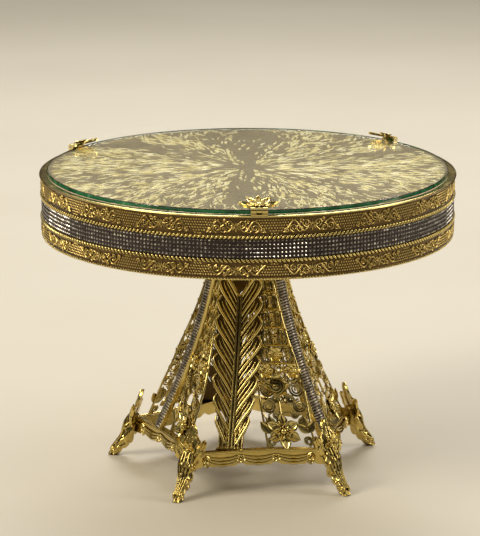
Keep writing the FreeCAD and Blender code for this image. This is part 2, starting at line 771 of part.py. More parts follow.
def make_claw():
    half = KNUCKLE_WIDTH / 2 - MOVING_GAP
    toe_bottom = GLASS_TOP + MOVING_GAP
    toe_in = GLASS_RADIUS - TOE_REACH
    arm = block(-half, half, toe_in, PIN_OUT, toe_bottom, toe_bottom + ARM_THICK)
    riser_in = PIN_OUT - KNUCKLE_RADIUS
    riser_bottom = min(PIN_HEIGHT, toe_bottom)
    riser_top = max(PIN_HEIGHT, toe_bottom) + ARM_THICK
    riser = block(-half, half, riser_in, PIN_OUT, riser_bottom, riser_top)
    fan = fan_plate()
    fan.translate(vec(0, -(PIN_OUT - KNUCKLE_RADIUS), toe_bottom + ARM_THICK / 2))
    claw = knuckle(-half, half, KNUCKLE_RADIUS).multiFuse([arm, riser, fan])
    return claw.cut(knuckle(-half, half, PIN_RADIUS + PIN_GAP)).removeSplitter()


# The whole stand

def make_pedestal():
    nodes = {"base_ring": make_base_ring()}
    foot = make_foot(ring_solid(0, RING_BOTTOM, RING_TOP))
    leaf = make_leaf_rib()
    channel = make_stone_rib()
    stones = make_rib_stones()
    skin = panel_skin()
    leaves = 0
    channels = 0
    for side in range(SIDES):
        rib_angle = side * SIDE_ANGLE - RIB_SHIFT
        if LEAF_ORDER[side]:
            leaves += 1
            nodes["leaf_rib_%d" % leaves] = turned(leaf, rib_angle)
        else:
            channels += 1
            nodes["stone_rib_%d" % channels] = turned(channel, rib_angle)
            nodes["rib_stones_%d" % channels] = turned(stones, rib_angle)
        filigree = make_filigree(skin, LEAF_ORDER[side], LEAF_ORDER[(side + 1) % SIDES])
        nodes["filigree_%d" % (side + 1)] = turned(filigree, rib_angle + SIDE_ANGLE / 2)
        nodes["foot_%d" % (side + 1)] = turned(foot, (side + 0.5) * SIDE_ANGLE)
    return nodes


def make_claws():
    nodes = {}
    claw = make_claw()
    bracket = make_claw_bracket()
    pin = make_claw_pin()
    for name, angle in CLAW_ANGLES.items():
        nodes["claw_" + name] = turned(claw, angle)
        nodes["claw_bracket_" + name] = turned(bracket, angle)
        nodes["claw_pin_" + name] = turned(pin, angle)
    return nodes


def main():
    os.makedirs("parts", exist_ok=True)
    nodes = {}
    for group in (make_pedestal(), make_fixings(), make_drum(), make_claws()):
        nodes.update(group)
    for name, shape in nodes.items():
        box = shape.BoundBox
        print(name, len(shape.Solids), shape.isValid(), "%.1f cm3" % (shape.Volume / 1000),
              "z %.1f to %.1f" % (box.ZMin, box.ZMax))
        shape.exportStep("parts/%s.step" % name)


main()
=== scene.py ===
# %% [markdown]
# # A gold-plated pedestal stand for sweets
# The stand has a round drum with a glass top, on a foot of openwork between flared ribs. Its construction
# comes in as a fixed frame, at its real size. This lesson dresses that frame: it keeps the plain solids
# whose shape is right, and models what a goldsmith's trade parts add to them, such as stamped strips,
# ropes, stones and wirework.

# %% Load the frame
import bpy
import json
import random
from math import atan, cos, pi, radians, remainder, sin, sqrt
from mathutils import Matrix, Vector


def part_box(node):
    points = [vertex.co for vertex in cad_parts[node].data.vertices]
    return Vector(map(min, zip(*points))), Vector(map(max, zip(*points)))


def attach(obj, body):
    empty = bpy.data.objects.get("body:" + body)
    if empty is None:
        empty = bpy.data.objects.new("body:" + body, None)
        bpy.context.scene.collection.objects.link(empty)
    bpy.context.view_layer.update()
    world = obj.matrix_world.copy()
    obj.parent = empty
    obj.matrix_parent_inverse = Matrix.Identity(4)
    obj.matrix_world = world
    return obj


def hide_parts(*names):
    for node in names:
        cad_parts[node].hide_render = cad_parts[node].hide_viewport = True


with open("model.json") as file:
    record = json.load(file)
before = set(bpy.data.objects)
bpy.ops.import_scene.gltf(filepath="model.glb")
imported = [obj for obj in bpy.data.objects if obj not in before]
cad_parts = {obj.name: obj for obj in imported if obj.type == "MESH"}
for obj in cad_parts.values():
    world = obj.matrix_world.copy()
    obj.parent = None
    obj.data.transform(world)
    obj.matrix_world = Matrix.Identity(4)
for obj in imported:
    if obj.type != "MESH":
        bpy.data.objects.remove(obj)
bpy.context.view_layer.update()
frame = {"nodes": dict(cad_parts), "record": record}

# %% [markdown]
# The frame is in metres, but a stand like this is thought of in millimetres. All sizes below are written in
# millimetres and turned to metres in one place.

MM = 0.001

# %% [markdown]
# An operator works on whatever is selected, and the frame's nodes are selected after loading. So each step
# starts from a clean selection. These few helpers are the moves a modeller makes by hand over and over:
# pick a piece, join pieces, apply a modifier, copy a piece round the stand's upright axis.

# %% Moves used over and over
def pick(*pieces):
    """Selects these pieces alone and makes the first one active."""
    bpy.ops.object.select_all(action="DESELECT")
    for piece in pieces:
        piece.select_set(True)
    if pieces:
        bpy.context.view_layer.objects.active = pieces[0]


def named(name):
    """Names the piece that was just made, and its mesh."""
    piece = bpy.context.object
    piece.name = name
    piece.data.name = name
    return piece


def join(name, pieces):
    pick(*pieces)
    bpy.ops.object.join()
    return named(name)


def settle(piece):
    """Puts the piece's place, turn and scale into its mesh."""
    pick(piece)
    bpy.ops.object.transform_apply(location=True, rotation=True, scale=True)
    return piece


def modify(piece, kind, **settings):
    """Adds a modifier, sets it and applies it."""
    pick(piece)
    bpy.ops.object.modifier_add(type=kind)
    modifier = piece.modifiers[-1]
    for key, value in settings.items():
        setattr(modifier, key, value)
    bpy.ops.object.modifier_apply(modifier=modifier.name)
    return piece


def smooth(piece, degrees=40):
    pick(piece)
    bpy.ops.object.shade_smooth_by_angle(angle=radians(degrees))
    return piece


def repeat_round(piece, count):
    """Copies a piece evenly round the upright axis."""
    pick()
    bpy.ops.object.empty_add(rotation=(0, 0, 2 * pi / count))
    step = bpy.context.object
    modify(piece, "ARRAY", count=count, use_relative_offset=False, use_object_offset=True, offset_object=step)
    bpy.data.objects.remove(step)
    return piece


def turned_copy(piece, name, degrees):
    """A copy with its own mesh, turned about the upright axis."""
    pick(piece)
    bpy.ops.object.duplicate()
    copy = named(name)
    copy.rotation_euler.z = radians(degrees)
    return settle(copy)


def finish(piece, material):
    piece.data.materials.clear()
    piece.data.materials.append(material)


def dress(piece, material, body="stand", nodes=()):
    """Gives a finished piece its material, its body and the solids that it stands for."""
    finish(piece, material)
    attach(piece, body)
    if nodes:
        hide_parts(*nodes)
    print(piece.name, len(piece.data.polygons), "faces")

# %% [markdown]
# Most ornament here is drawn on a curved face: a drum, a flared rib, a hollow panel. Four makers cover it.
# A lathe turns an outline round the axis with the Spin operator. Wires are curves with a round section. A
# blade is a grid that is shaped into a leaf or petal and given thickness. Turnings are small round things,
# such as beads and stones, set on a face by the hundred, so each has only a few faces.

# %% Makers: lathe, wires, blades and turnings
LATHE_STEPS = 240
MERGE = 0.01


def from_corners(name, corners, edges, faces):
    """A new piece from corners in metres, with edges and faces between them."""
    mesh = bpy.data.meshes.new(name)
    mesh.from_pydata(corners, edges, faces)
    piece = bpy.data.objects.new(name, mesh)
    bpy.context.collection.objects.link(piece)
    return piece


def work_mesh(piece, *moves):
    """Runs edit mode moves, each on the whole mesh, and then turns all faces outwards."""
    pick(piece)
    bpy.ops.object.mode_set(mode="EDIT")
    for move, settings in moves:
        bpy.ops.mesh.select_all(action="SELECT")
        move(**settings)
    bpy.ops.mesh.select_all(action="SELECT")
    bpy.ops.mesh.normals_make_consistent(inside=False)
    bpy.ops.object.mode_set(mode="OBJECT")
    return piece


def lathe(name, outline):
    """Turns a closed outline of (radius, height) corners round the upright axis."""
    corners = [(radius * MM, 0, height * MM) for radius, height in outline]
    sides = [(i, (i + 1) % len(corners)) for i in range(len(corners))]
    piece = from_corners(name, corners, sides, [])
    round_axis = {"steps": LATHE_STEPS, "angle": 2 * pi, "center": (0, 0, 0), "axis": (0, 0, 1)}
    merge = {"threshold": MERGE * MM}
    work_mesh(piece, (bpy.ops.mesh.spin, round_axis), (bpy.ops.mesh.remove_doubles, merge))
    return smooth(piece)


def wires(name, runs, radius, sides=1, fine=3):
    """Round wires along runs of points. A fourth number on a point thins or thickens the wire there."""
    curve = bpy.data.curves.new(name, "CURVE")
    curve.dimensions = "3D"
    curve.bevel_depth = radius * MM
    curve.bevel_resolution = sides
    curve.resolution_u = fine
    curve.use_fill_caps = True
    for run in runs:
        spline = curve.splines.new("NURBS")
        spline.points.add(len(run) - 1)
        for point, place in zip(spline.points, run):
            point.co = (place[0] * MM, place[1] * MM, place[2] * MM, 1)
            point.radius = place[3] if len(place) > 3 else 1.0
        spline.order_u = min(3, len(run))
        spline.use_endpoint_u = True
    piece = bpy.data.objects.new(name, curve)
    bpy.context.collection.objects.link(piece)
    pick(piece)
    bpy.ops.object.convert(target="MESH")
    return smooth(named(name), 60)


def shaped_grid(name, place, across, along):
    """A grid whose every corner goes where place(side, way) says, side from -1 to 1 and way from 0 to 1."""
    pick()
    bpy.ops.mesh.primitive_grid_add(x_subdivisions=across, y_subdivisions=along, size=2)
    piece = named(name)
    for corner in piece.data.vertices:
        corner.co = Vector(place(corner.co.x, (corner.co.y + 1) / 2)) * MM
    return piece


def blade(name, place, across, along, thick):
    """A shaped grid with thickness."""
    piece = shaped_grid(name, place, across, along)
    modify(piece, "SOLIDIFY", thickness=thick * MM, offset=-1)
    return smooth(piece, 60)


def turnings(name, places, profile, sides):
    """Small turned forms at (point, outward) places. The profile gives (radius, rise) rings up to a cap."""
    corners = []
    faces = []
    for point, outward in places:
        out = Vector(outward).normalized()
        level = out.cross(Vector((0, 0, 1)))
        level = level.normalized() if level.length > 0.01 else Vector((1, 0, 0))
        upward = out.cross(level)
        first = len(corners)
        for radius, rise in profile:
            for step in range(sides):
                turn = 2 * pi * (step + 0.5) / sides
                spoke = level * cos(turn) + upward * sin(turn)
                corners.append((Vector(point) + spoke * radius + out * rise) * MM)
        for low in range(first, len(corners) - sides, sides):
            for step in range(sides):
                after = (step + 1) % sides
                faces.append((low + step, low + after, low + sides + after, low + sides + step))
        faces.append(tuple(range(len(corners) - sides, len(corners))))
    return work_mesh(from_corners(name, corners, [], faces))

print("makers ready")

# %% [markdown]
# Materials are built from nodes on Object coordinates, so a pattern keeps its real size. One function turns
# an sRGB hex value to linear colour, and one adds a node with its settings, values and links.

# %% Colour and nodes
NOISE, CELLS = "ShaderNodeTexNoise", "ShaderNodeTexVoronoi"


def colour(code):
    """Linear colour of an sRGB hex value."""
    parts = [int(code[i:i + 2], 16) / 255 for i in (1, 3, 5)]
    return tuple(p / 12.92 if p <= 0.04045 else ((p + 0.055) / 1.055) ** 2.4 for p in parts) + (1.0,)


def feed(node, inputs):
    """Sets a node's inputs; each is either a value or another node's output."""
    for key, value in inputs.items():
        if isinstance(value, bpy.types.NodeSocket):
            node.id_data.links.new(value, node.inputs[key])
        else:
            node.inputs[key].default_value = value


def add_node(tree, kind, inputs=(), **settings):
    """Adds a node with its settings, values and links."""
    node = tree.nodes.new(kind)
    for key, value in settings.items():
        setattr(node, key, value)
    feed(node, dict(inputs))
    return node


def new_material(name):
    """A material, with its node tree, its shader and Object coordinates."""
    material = bpy.data.materials.new(name)
    material.use_nodes = True
    tree = material.node_tree
    place = add_node(tree, "ShaderNodeTexCoord").outputs["Object"]
    return material, tree, tree.nodes["Principled BSDF"], place


def set_ramp(node, stops):
    """Colours of a ramp, as (place, hex) pairs."""
    elements = node.color_ramp.elements
    while len(elements) < len(stops):
        elements.new(0.5)
    for element, (place, code) in zip(elements, stops):
        element.position = place
        element.color = colour(code)


def per_mm(size):
    """Texture scale for a pattern of this size in millimetres."""
    return 1 / (size * MM)

print("linear value of a middle grey:", colour("#808080"))

# %% [markdown]
# ** Gold plate.** The metal is cast or stamped brass with a thin bright gold plating. Plating is a mirror,
# so its look comes from what it reflects: cream where it meets the lamps, brown where it meets itself.
# In the recesses, which an ambient occlusion node finds, the colour is darkened as painted shade, partly
# standing for plating that is thinner and toned there. A slow noise makes the polish uneven, and a fine
# one gives the skin of a casting. A thin clear lacquer keeps the plating and adds white glints. Four
# finishes share this: polished, cast, stamped, and a darker copy for grounds, which is painted shade.

# %% Gold plate in four finishes
POLISH_MM = 14
SKIN_DEPTH = 0.4
# Sockets of a Mix node for colours.
SHARE, FROM, TO, RESULT = 0, 6, 7, 2


def gold_plate(name, bright, painted_shade_colour, rough, skin_mm, relief, recess_mm):
    """Gold between two bright tones, with painted shade darkening recesses about recess_mm wide."""
    material, tree, shader, place = new_material(name)
    # Painted shade: the ambient occlusion node darkens the colour in recesses, partly standing for thinner,
    # toned plating there.
    recess = add_node(tree, "ShaderNodeAmbientOcclusion", {"Distance": recess_mm * MM}, samples=6)
    depth = add_node(tree, "ShaderNodeMapRange", {
        "Value": recess.outputs["AO"], "From Min": 0.15, "From Max": 0.7, "To Min": 0.0, "To Max": 1.0})
    cloud = add_node(tree, NOISE, {"Vector": place, "Scale": per_mm(POLISH_MM), "Detail": 3.0})
    tint = add_node(tree, "ShaderNodeMix", {
        SHARE: cloud.outputs["Fac"], FROM: colour(bright[0]), TO: colour(bright[1])}, data_type="RGBA")
    shade = add_node(tree, "ShaderNodeMix", {
        SHARE: depth.outputs["Result"], FROM: colour(painted_shade_colour), TO: tint.outputs[RESULT]}, data_type="RGBA")
    polish = add_node(tree, "ShaderNodeMapRange", {
        "Value": cloud.outputs["Fac"], "From Min": 0.3, "From Max": 0.7,
        "To Min": rough[0], "To Max": rough[1]})
    skin = add_node(tree, NOISE, {"Vector": place, "Scale": per_mm(skin_mm), "Detail": 2.0})
    bump = add_node(tree, "ShaderNodeBump", {
        "Height": skin.outputs["Fac"], "Strength": relief, "Distance": SKIN_DEPTH * MM})
    feed(shader, {
        "Base Color": shade.outputs[RESULT], "Roughness": polish.outputs["Result"],
        "Normal": bump.outputs["Normal"], "Metallic": 1.0, "Coat Weight": 0.35, "Coat Roughness": 0.08})
    return material


polished_gold = gold_plate("polished gold plate", ("#e4d084", "#d2ba6c"), "#6a5424", rough=(0.13, 0.24),
                           skin_mm=3.0, relief=0.15, recess_mm=3)
cast_gold = gold_plate("cast gold plate", ("#ddc678", "#c8ad58"), "#423112", rough=(0.14, 0.26),
                       skin_mm=1.6, relief=0.45, recess_mm=6)
stamped_gold = gold_plate("stamped gold strip", ("#cfb66e", "#b59a54"), "#4c3814", rough=(0.22, 0.34),
                          skin_mm=1.2, relief=0.2, recess_mm=1.2)
# A darker copy of the gold, as painted shade on grounds that lie back from the relief.
painted_shade_gold = gold_plate("gold ground with painted shade", ("#72592c", "#5a4520"), "#241a08", rough=(0.28, 0.40),
                        skin_mm=1.2, relief=0.25, recess_mm=2)
print(polished_gold.name, cast_gold.name, stamped_gold.name, painted_shade_gold.name)

# %% [markdown]
# **Stones.** The strips hold small pressed-glass stones with a silvered back, so each facet is a small
# mirror. Clear glass over a mirror would need many bounces of light, and a tinted metal looks the same at
# this size. Real stones differ a little in tone, which a cell pattern of one stone's size gives. Those of
# the band are clear, those in the ribs are smoked and duller. Between them is a dark mesh.

# %% Stones and their mesh
STONE_MM = 2.4


def mottled(name, texture, size_mm, stops, values, **inputs):
    """A finish whose colours are stops of a ramp over a noise or a cell pattern of this size."""
    material, tree, shader, place = new_material(name)
    pattern = add_node(tree, texture, {"Vector": place, "Scale": per_mm(size_mm), **inputs})
    output = "Fac" if texture == NOISE else "Color"
    tones = add_node(tree, "ShaderNodeValToRGB", {"Fac": pattern.outputs[output]})
    set_ramp(tones, stops)
    feed(shader, {"Base Color": tones.outputs["Color"], **values})
    return material


cut_stones = mottled("silvered glass stones", CELLS, STONE_MM, [
    (0.1, "#59544f"), (0.7, "#a39d94"), (0.95, "#f6f3ea")], {"Metallic": 1.0, "Roughness": 0.06})
smoked_stones = mottled("smoked glass stones", CELLS, STONE_MM, [
    (0.1, "#6c655a"), (0.7, "#aaa192"), (0.95, "#d8d0be")], {"Metallic": 1.0, "Roughness": 0.3})
dark_mesh = mottled("blackened brass mesh", NOISE, 1.4, [
    (0.3, "#241e1d"), (0.7, "#544844")], {"Metallic": 0.6, "Roughness": 0.45})
print(cut_stones.name, smoked_stones.name, dark_mesh.name)

# %% [markdown]
# ** Glass.** Float glass of 3 mm is clear through its face, and iron in it makes the edge deep green,
# because there the light has come a long way through. A tinted volume could give both, but is slow and
# grainy. So the face and the edge get a material each. The edge's lighter mottle is painted glints.

# %% Glass, face and edge
GLASS_IOR = 1.52
clear_glass, tree, shader, place = new_material("clear float glass")
film = add_node(tree, NOISE, {"Vector": place, "Scale": per_mm(60), "Detail": 2.0})
wipe = add_node(tree, "ShaderNodeMapRange", {"Value": film.outputs["Fac"], "To Min": 0.0, "To Max": 0.03})
feed(shader, {"Base Color": colour("#fbfcf8"), "Roughness": wipe.outputs["Result"],
              "Transmission Weight": 1.0, "IOR": GLASS_IOR})
# The lighter spots of this mottle are painted glints; the deep green is the glass's own colour.
green_edge = mottled("green float glass edge", NOISE, 9, [
    (0.35, "#0c4a2c"), (0.6, "#1d7348"), (0.75, "#5fae82")],
    {"Roughness": 0.08, "IOR": GLASS_IOR}, Detail=3.0)
print(clear_glass.name, green_edge.name)

# %% [markdown]
# **Board and leaf.** Under the glass lies a pressed board in grey beige. On it are thousands of strokes of
# metal leaf, laid like feathers from the middle outwards. Leaf is pale gold, brighter and duller from
# stroke to stroke, and slightly creased.

# %% Board and leaf finish
board_paper = mottled("grey beige pressed board", NOISE, 9, [
    (0.3, "#6a5c34"), (0.7, "#827246")], {"Roughness": 0.5, "Metallic": 0.3}, Detail=4.0)
gold_leaf = mottled("pale gold leaf", CELLS, 7, [
    (0.1, "#dccb7e"), (0.5, "#f0e39e"), (0.9, "#fcf4c6")], {"Metallic": 0.15, "Roughness": 0.35})
tree = gold_leaf.node_tree
place = tree.nodes["Texture Coordinate"].outputs["Object"]
crease = add_node(tree, NOISE, {"Vector": place, "Scale": per_mm(1.5)})
bump = add_node(tree, "ShaderNodeBump", {
    "Height": crease.outputs["Fac"], "Strength": 0.3, "Distance": 0.3 * MM})
feed(tree.nodes["Principled BSDF"], {"Normal": bump.outputs["Normal"]})
print(board_paper.name, gold_leaf.name)

# %% [markdown]
# **Zinc.** The bolts, washers and nuts between drum and foot are zinc plated steel, grey with a faint
# mottle.

# %% Zinc plated steel
zinc_steel = mottled("zinc plated steel", NOISE, 2, [
    (0.3, "#9a9c9e"), (0.7, "#c4c6c8")], {"Metallic": 1.0, "Roughness": 0.35})
print(zinc_steel.name)

# %% [markdown]
# **Solids that stay.** Ring, ribs, claws, plate, bolts and the inside of the drum have the right shape in
# the frame. They keep it and only get their finish.

# %% Finish the solids that stay
finishes = {
    "polished_gold": polished_gold, "cast_gold": cast_gold, "stamped_gold": stamped_gold,
    "cut_stones": cut_stones, "clear_glass": clear_glass, "leaf_foil": board_paper, "zinc_steel": zinc_steel}

for part in frame["record"]["subparts"]:
    finish(frame["nodes"][part["node"]], finishes[part["material_slot"]])
print(len(frame["nodes"]), "solids finished")

# %% [markdown]
# **Drum edge.** From the top down the drum's edge has a bright lip, a stamped strip, a rope, a band of
# stones, a second rope, a second strip and a fine rope. Heights and radii come from the boxes of the
# solids.

# %% Heights and radii of the drum's edge
def band_of(node):
    """Outer radius, lowest and highest point of a round solid, in millimetres."""
    low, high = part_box(node)
    return high.x / MM, low.z / MM, high.z / MM


LIP_OUT, LIP_LOW, LIP_HIGH = band_of("rim_lip")
STONES_OUT, STONES_LOW, STONES_HIGH = band_of("stone_mesh")
GLASS_OUT, GLASS_LOW, GLASS_HIGH = band_of("glass_plate")
DRUM_OUT = band_of("upper_band")[0]
BOARD_LOW = band_of("foil_board")[1]
print("lip", LIP_OUT, LIP_LOW, LIP_HIGH)


def on_drum(along, z, out):
    """Point on the drum's edge, a length along it from the front."""
    turn = along / DRUM_OUT
    return (out * sin(turn), -out * cos(turn), z)


def out_from_drum(along):
    """Outward direction at that length."""
    turn = along / DRUM_OUT
    return (sin(turn), -cos(turn), 0)

# %% Lip round the glass
LIP_IN = GLASS_OUT + 0.6
lip = lathe("lip_ring", [
    (LIP_IN, LIP_LOW), (LIP_IN, LIP_HIGH - 0.2), (LIP_IN + 0.3, LIP_HIGH), (LIP_OUT - 0.8, LIP_HIGH),
    (LIP_OUT - 0.2, LIP_HIGH - 0.25), (LIP_OUT, LIP_LOW + 0.4), (LIP_OUT - 0.3, LIP_LOW)])
dress(lip, polished_gold, nodes=["rim_lip"])

# %% [markdown]
# **Ropes.** A twisted trim could be two wires wound round each other, but only its slanted strands show, as
# a row of beads. So one bead is a small sphere, drawn out, slanted and cut level, and an Array copies it
# round the drum. The upper and middle ropes slant opposite ways; the lowest is finer.

# %% Ropes
BEAD_SHARE = 0.34


def rope(name, node, pitch, long, slant):
    """Slanted beads round the drum, each as wide as a share of the pitch."""
    out, low, high = band_of(node)
    radius = (high - low) / 2
    half = radius * MM
    middle = (low + radius) * MM
    pick()
    bpy.ops.mesh.primitive_uv_sphere_add(
        segments=8, ring_count=6, radius=half, location=(0, -(out - radius) * MM, middle),
        rotation=(0, radians(slant), 0))
    bead = named(name)
    bead.scale = (BEAD_SHARE * pitch / radius, 1.0, long)
    settle(bead)
    for corner in bead.data.vertices:
        corner.co.z = middle + max(-half, min(half, corner.co.z - middle))
    smooth(bead, 80)
    repeat_round(bead, round(2 * pi * (out - radius) / pitch))
    dress(bead, polished_gold, nodes=[node])


rope("rope_upper", "upper_rope", pitch=3.0, long=2.1, slant=42)
rope("rope_middle", "middle_rope", pitch=3.0, long=2.1, slant=-42)
rope("rope_bottom", "bottom_rope", pitch=2.2, long=1.3, slant=0)

# %% [markdown]
# **Stone band.** Five rows of stones with eight facets each stand on a dark mesh. A bump pattern would not
# glint, so every stone is a turned form. One column is modelled and copied round the drum.

# %% Stone band
STONE_ROWS = 5
STONE_PITCH = (STONES_HIGH - STONES_LOW) / STONE_ROWS
STONE_CUT = [(0.9, 0.0), (0.9, 0.3), (0.42, 0.8)]
STONE_FACETS = 8
MESH_IN, MESH_OUT = STONES_OUT - 1.6, STONES_OUT - 0.9
ground = lathe("stone_ground", [
    (MESH_IN, STONES_LOW), (MESH_IN, STONES_HIGH), (MESH_OUT, STONES_HIGH), (MESH_OUT, STONES_LOW)])
dress(ground, dark_mesh, nodes=["stone_mesh"])
heights = [STONES_LOW + (row + 0.5) * STONE_PITCH for row in range(STONE_ROWS)]
places = [(on_drum(0, z, MESH_OUT), out_from_drum(0)) for z in heights]
column = turnings("stone_column", places, STONE_CUT, STONE_FACETS)
repeat_round(column, round(2 * pi * STONES_OUT / STONE_PITCH))
dress(column, cut_stones)

# %% [markdown]
# ** Stamped strips.** A strip repeats every 20 degrees: a field of fine dots, and beside it a field of
# scrolls round a rosette. The lower strip turns the same pattern over. One repeat is made from wires and
# dots on the drum's curve, and copied 18 times over a plain strip in painted shade, darker than the relief.

# %% Stamped strips
REPEATS = 18
REPEAT = 2 * pi * DRUM_OUT / REPEATS
STRIP_DEEP, STRIP_SINK = 1.4, 0.45
# Raised edge of a strip: its rounding, and how far in its flat and its slope end.
EDGE_ROUND, EDGE_FLAT, EDGE_FOOT = 0.3, 0.9, 1.1
RELIEF_MARGIN, RELIEF_RISE = 1.2, 0.3
SCROLL_WIRE, STAR_WIRE = 0.7, 0.6
DOT_PITCH = 1.85
DOT = [(0.72, -0.3), (0.66, 0.25), (0.3, 0.55)]
# Half width of the field of dots as a share of the repeat, and how much it widens upwards.
FIELD_SHARE, FIELD_WIDENS = 0.19, 0.22
# Scrolls: share of the repeat, height and size as shares of the strip's height, and way of winding.
SCROLLS = ((0.16, -0.30, 0.18, 1), (0.25, -0.14, 0.30, -1), (0.34, -0.20, 0.30, 1),
           (0.42, 0.16, 0.30, -1), (0.36, 0.32, 0.18, 1))
# A vine under the scrolls: start, length and swing, as shares of the repeat and the strip's height.
VINE_START, VINE_RUN, VINE_SWING = 0.12, 0.34, 0.42
# A rosette's petal: reach and thickness of its wire.
STAR_PETAL = ((0.5, 0.6), (2.0, 1.6), (3.6, 0.5))
SPIRAL_STEPS, SPIRAL_SHRINK = 9, 0.82


def spiral(centre, radius, turns, start, way, point_on, thin=0.35):
    """A run of points that winds in to a centre and thins on its way."""
    run = []
    steps = max(6, round(turns * SPIRAL_STEPS))
    for step in range(steps + 1):
        share = step / steps
        turn = start + way * share * turns * 2 * pi
        size = radius * (1 - SPIRAL_SHRINK * share)
        place = point_on(centre[0] + size * cos(turn), centre[1] + size * sin(turn))
        run.append((*place, 1 - thin * share))
    return run


def strip(name, node, wide_top):
    """A plain strip between raised edges, and its relief."""
    out, low, high = band_of(node)
    back, face = out - STRIP_DEEP, out - STRIP_SINK
    plain = lathe(name + "_ground", [
        (back, low), (back, high), (out - EDGE_ROUND, high), (out, high - EDGE_ROUND),
        (out, high - EDGE_FLAT), (face, high - EDGE_FOOT), (face, low + EDGE_FOOT), (out, low + EDGE_FLAT),
        (out, low + EDGE_ROUND), (out - EDGE_ROUND, low)])
    tall = high - low - 2 * RELIEF_MARGIN
    middle = (low + high) / 2

    def on_strip(along, up):
        return on_drum(along, middle + (up if wide_top else -up), face + RELIEF_RISE)

    dots = []
    for row in range(int(tall / DOT_PITCH) + 1):
        up = -tall / 2 + row * DOT_PITCH
        field_half = REPEAT * (FIELD_SHARE + FIELD_WIDENS * (up / tall))
        count = int(field_half / DOT_PITCH - 0.4)
        for step in range(-count, count + 1):
            along = (step + (0.5 if row % 2 else 0)) * DOT_PITCH
            dots.append((on_strip(along, up), out_from_drum(along)))
    runs = []
    for sign in (-1, 1):
        for share, up, size, way in SCROLLS:
            centre = (sign * REPEAT * share, up * tall)
            runs.append(spiral(centre, size * tall, 1.5, pi / 2 * way, way * sign, on_strip))
        vine = []
        for step in range(9):
            along = sign * REPEAT * (VINE_START + VINE_RUN * step / 8)
            vine.append(on_strip(along, -VINE_SWING * tall * cos(step * pi / 3.2)))
        runs.append(vine)
    petals = []
    for step in range(8):
        turn = step * pi / 4
        petals.append([on_strip(REPEAT / 2 + reach * cos(turn), reach * sin(turn)) + (thick,)
                       for reach, thick in STAR_PETAL])
    field = turnings(name + "_dots", dots, DOT, 6)
    scrolls = wires(name + "_scrolls", runs, SCROLL_WIRE, 1, 2)
    star = wires(name + "_rosette", petals, STAR_WIRE, 1, 2)
    relief = join(name, [scrolls, star, field])
    repeat_round(relief, REPEATS)
    dress(relief, stamped_gold)
    # The plain strip gets the darker gold: painted shade below the relief.
    dress(plain, painted_shade_gold, nodes=[node])


strip("strip_upper", "upper_band", True)
strip("strip_lower", "lower_band", False)

# %% [markdown]
# **Board, leaf strokes and glass.** The strokes are flat slivers that lie between board and glass. They fan
# out from the middle, thick to the sides and thin along a few quiet spokes. A painted pattern would look
# flat under the glass, so they are small meshes, scattered by a seeded random generator, and every run
# gives the same board.

# %% Board and leaf strokes
BOARD_HIGH = BOARD_LOW + 0.5
BOARD_OUT = GLASS_OUT - 0.2
board = lathe("board_disc", [
    (0.0, BOARD_LOW), (BOARD_OUT, BOARD_LOW), (BOARD_OUT, BOARD_HIGH), (0.0, BOARD_HIGH)])
dress(board, board_paper, nodes=["foil_board"])

chance = random.Random(7)
corners = []
faces = []
# Corners of a stroke, as share of its length, side and rise, and the faces between them.
STROKE = ((0, 0, 0), (0.35, -1, 0.05), (0.35, 0, 1), (0.35, 1, 0.05), (0.75, -0.8, 0.05),
          (0.75, 0, 0.9), (0.75, 0.8, 0.05), (1, 0, 0))
STROKE_FACES = ((0, 1, 2), (0, 2, 3), (1, 4, 5, 2), (2, 5, 6, 3), (4, 7, 5), (5, 7, 6))
# Quiet spokes: direction in degrees from the front, and width in radians.
SPOKES = ((-7, 0.30), (173, 0.36), (-140, 0.24), (38, 0.14), (110, 0.10), (-75, 0.10))
RING_STEP = 6.0
TRIES_PER_MM = 3.6
# Least and most length, half width and rise of a stroke, and how far it may be off its ring.
STROKE_LONG, STROKE_HALF, STROKE_LIFT, STROKE_SHIFT = (5, 14), (0.35, 1.15), (0.15, 0.35), 4


def lay_stroke(angle, radius, length, half, lift):
    """A pointed sliver along the radius, with a ridge down its middle."""
    base = len(corners)
    bend = chance.uniform(-0.05, 0.05)
    for way, side, rise in STROKE:
        turn = angle + bend * way + side * half / max(radius, 8)
        reach = radius + way * length
        z = BOARD_HIGH + lift * rise
        corners.append((reach * sin(turn) * MM, -reach * cos(turn) * MM, z * MM))
    for face in STROKE_FACES:
        faces.append(tuple(base + i for i in face))


def fullness(angle, radius):
    """Chance of a stroke: low along the quiet spokes, high between them and in clumps."""
    full = 0.85
    for spoke, wide in SPOKES:
        near = abs(remainder(angle - radians(spoke), 2 * pi))
        full *= min(1.0, 0.12 + (near / wide) ** 2)
    clump = sin(angle * 9 + radius * 0.11) * sin(angle * 4 - radius * 0.17 + 1)
    return full * (0.6 + 0.5 * clump)


for ring in range(2, 24):
    radius = ring * RING_STEP
    tries = int(radius * TRIES_PER_MM)
    for step in range(tries):
        angle = 2 * pi * (step + chance.random()) / tries
        if chance.random() > fullness(angle, radius):
            continue
        start = radius + chance.uniform(-STROKE_SHIFT, STROKE_SHIFT)
        length = min(chance.uniform(*STROKE_LONG), GLASS_OUT - 2 - start)
        if length > 2:
            lay_stroke(angle, start, length, chance.uniform(*STROKE_HALF), chance.uniform(*STROKE_LIFT))
dress(from_corners("leaf_strokes", corners, [], faces), gold_leaf)

# %% Glass plate
GLASS_BEVEL = 0.4
pick()
bpy.ops.mesh.primitive_cylinder_add(
    vertices=256, radius=GLASS_OUT * MM, depth=(GLASS_HIGH - GLASS_LOW) * MM,
    location=(0, 0, (GLASS_LOW + GLASS_HIGH) / 2 * MM))
glass = settle(named("glass_disc"))
modify(glass, "BEVEL", width=GLASS_BEVEL * MM, segments=2, limit_method="ANGLE")
smooth(glass, 15)
dress(glass, clear_glass, nodes=["glass_plate"])
glass.data.materials.append(green_edge)
for face in glass.data.polygons:
    if abs(face.normal.z) < 0.3:
        face.material_index = 1
glass.visible_shadow = False

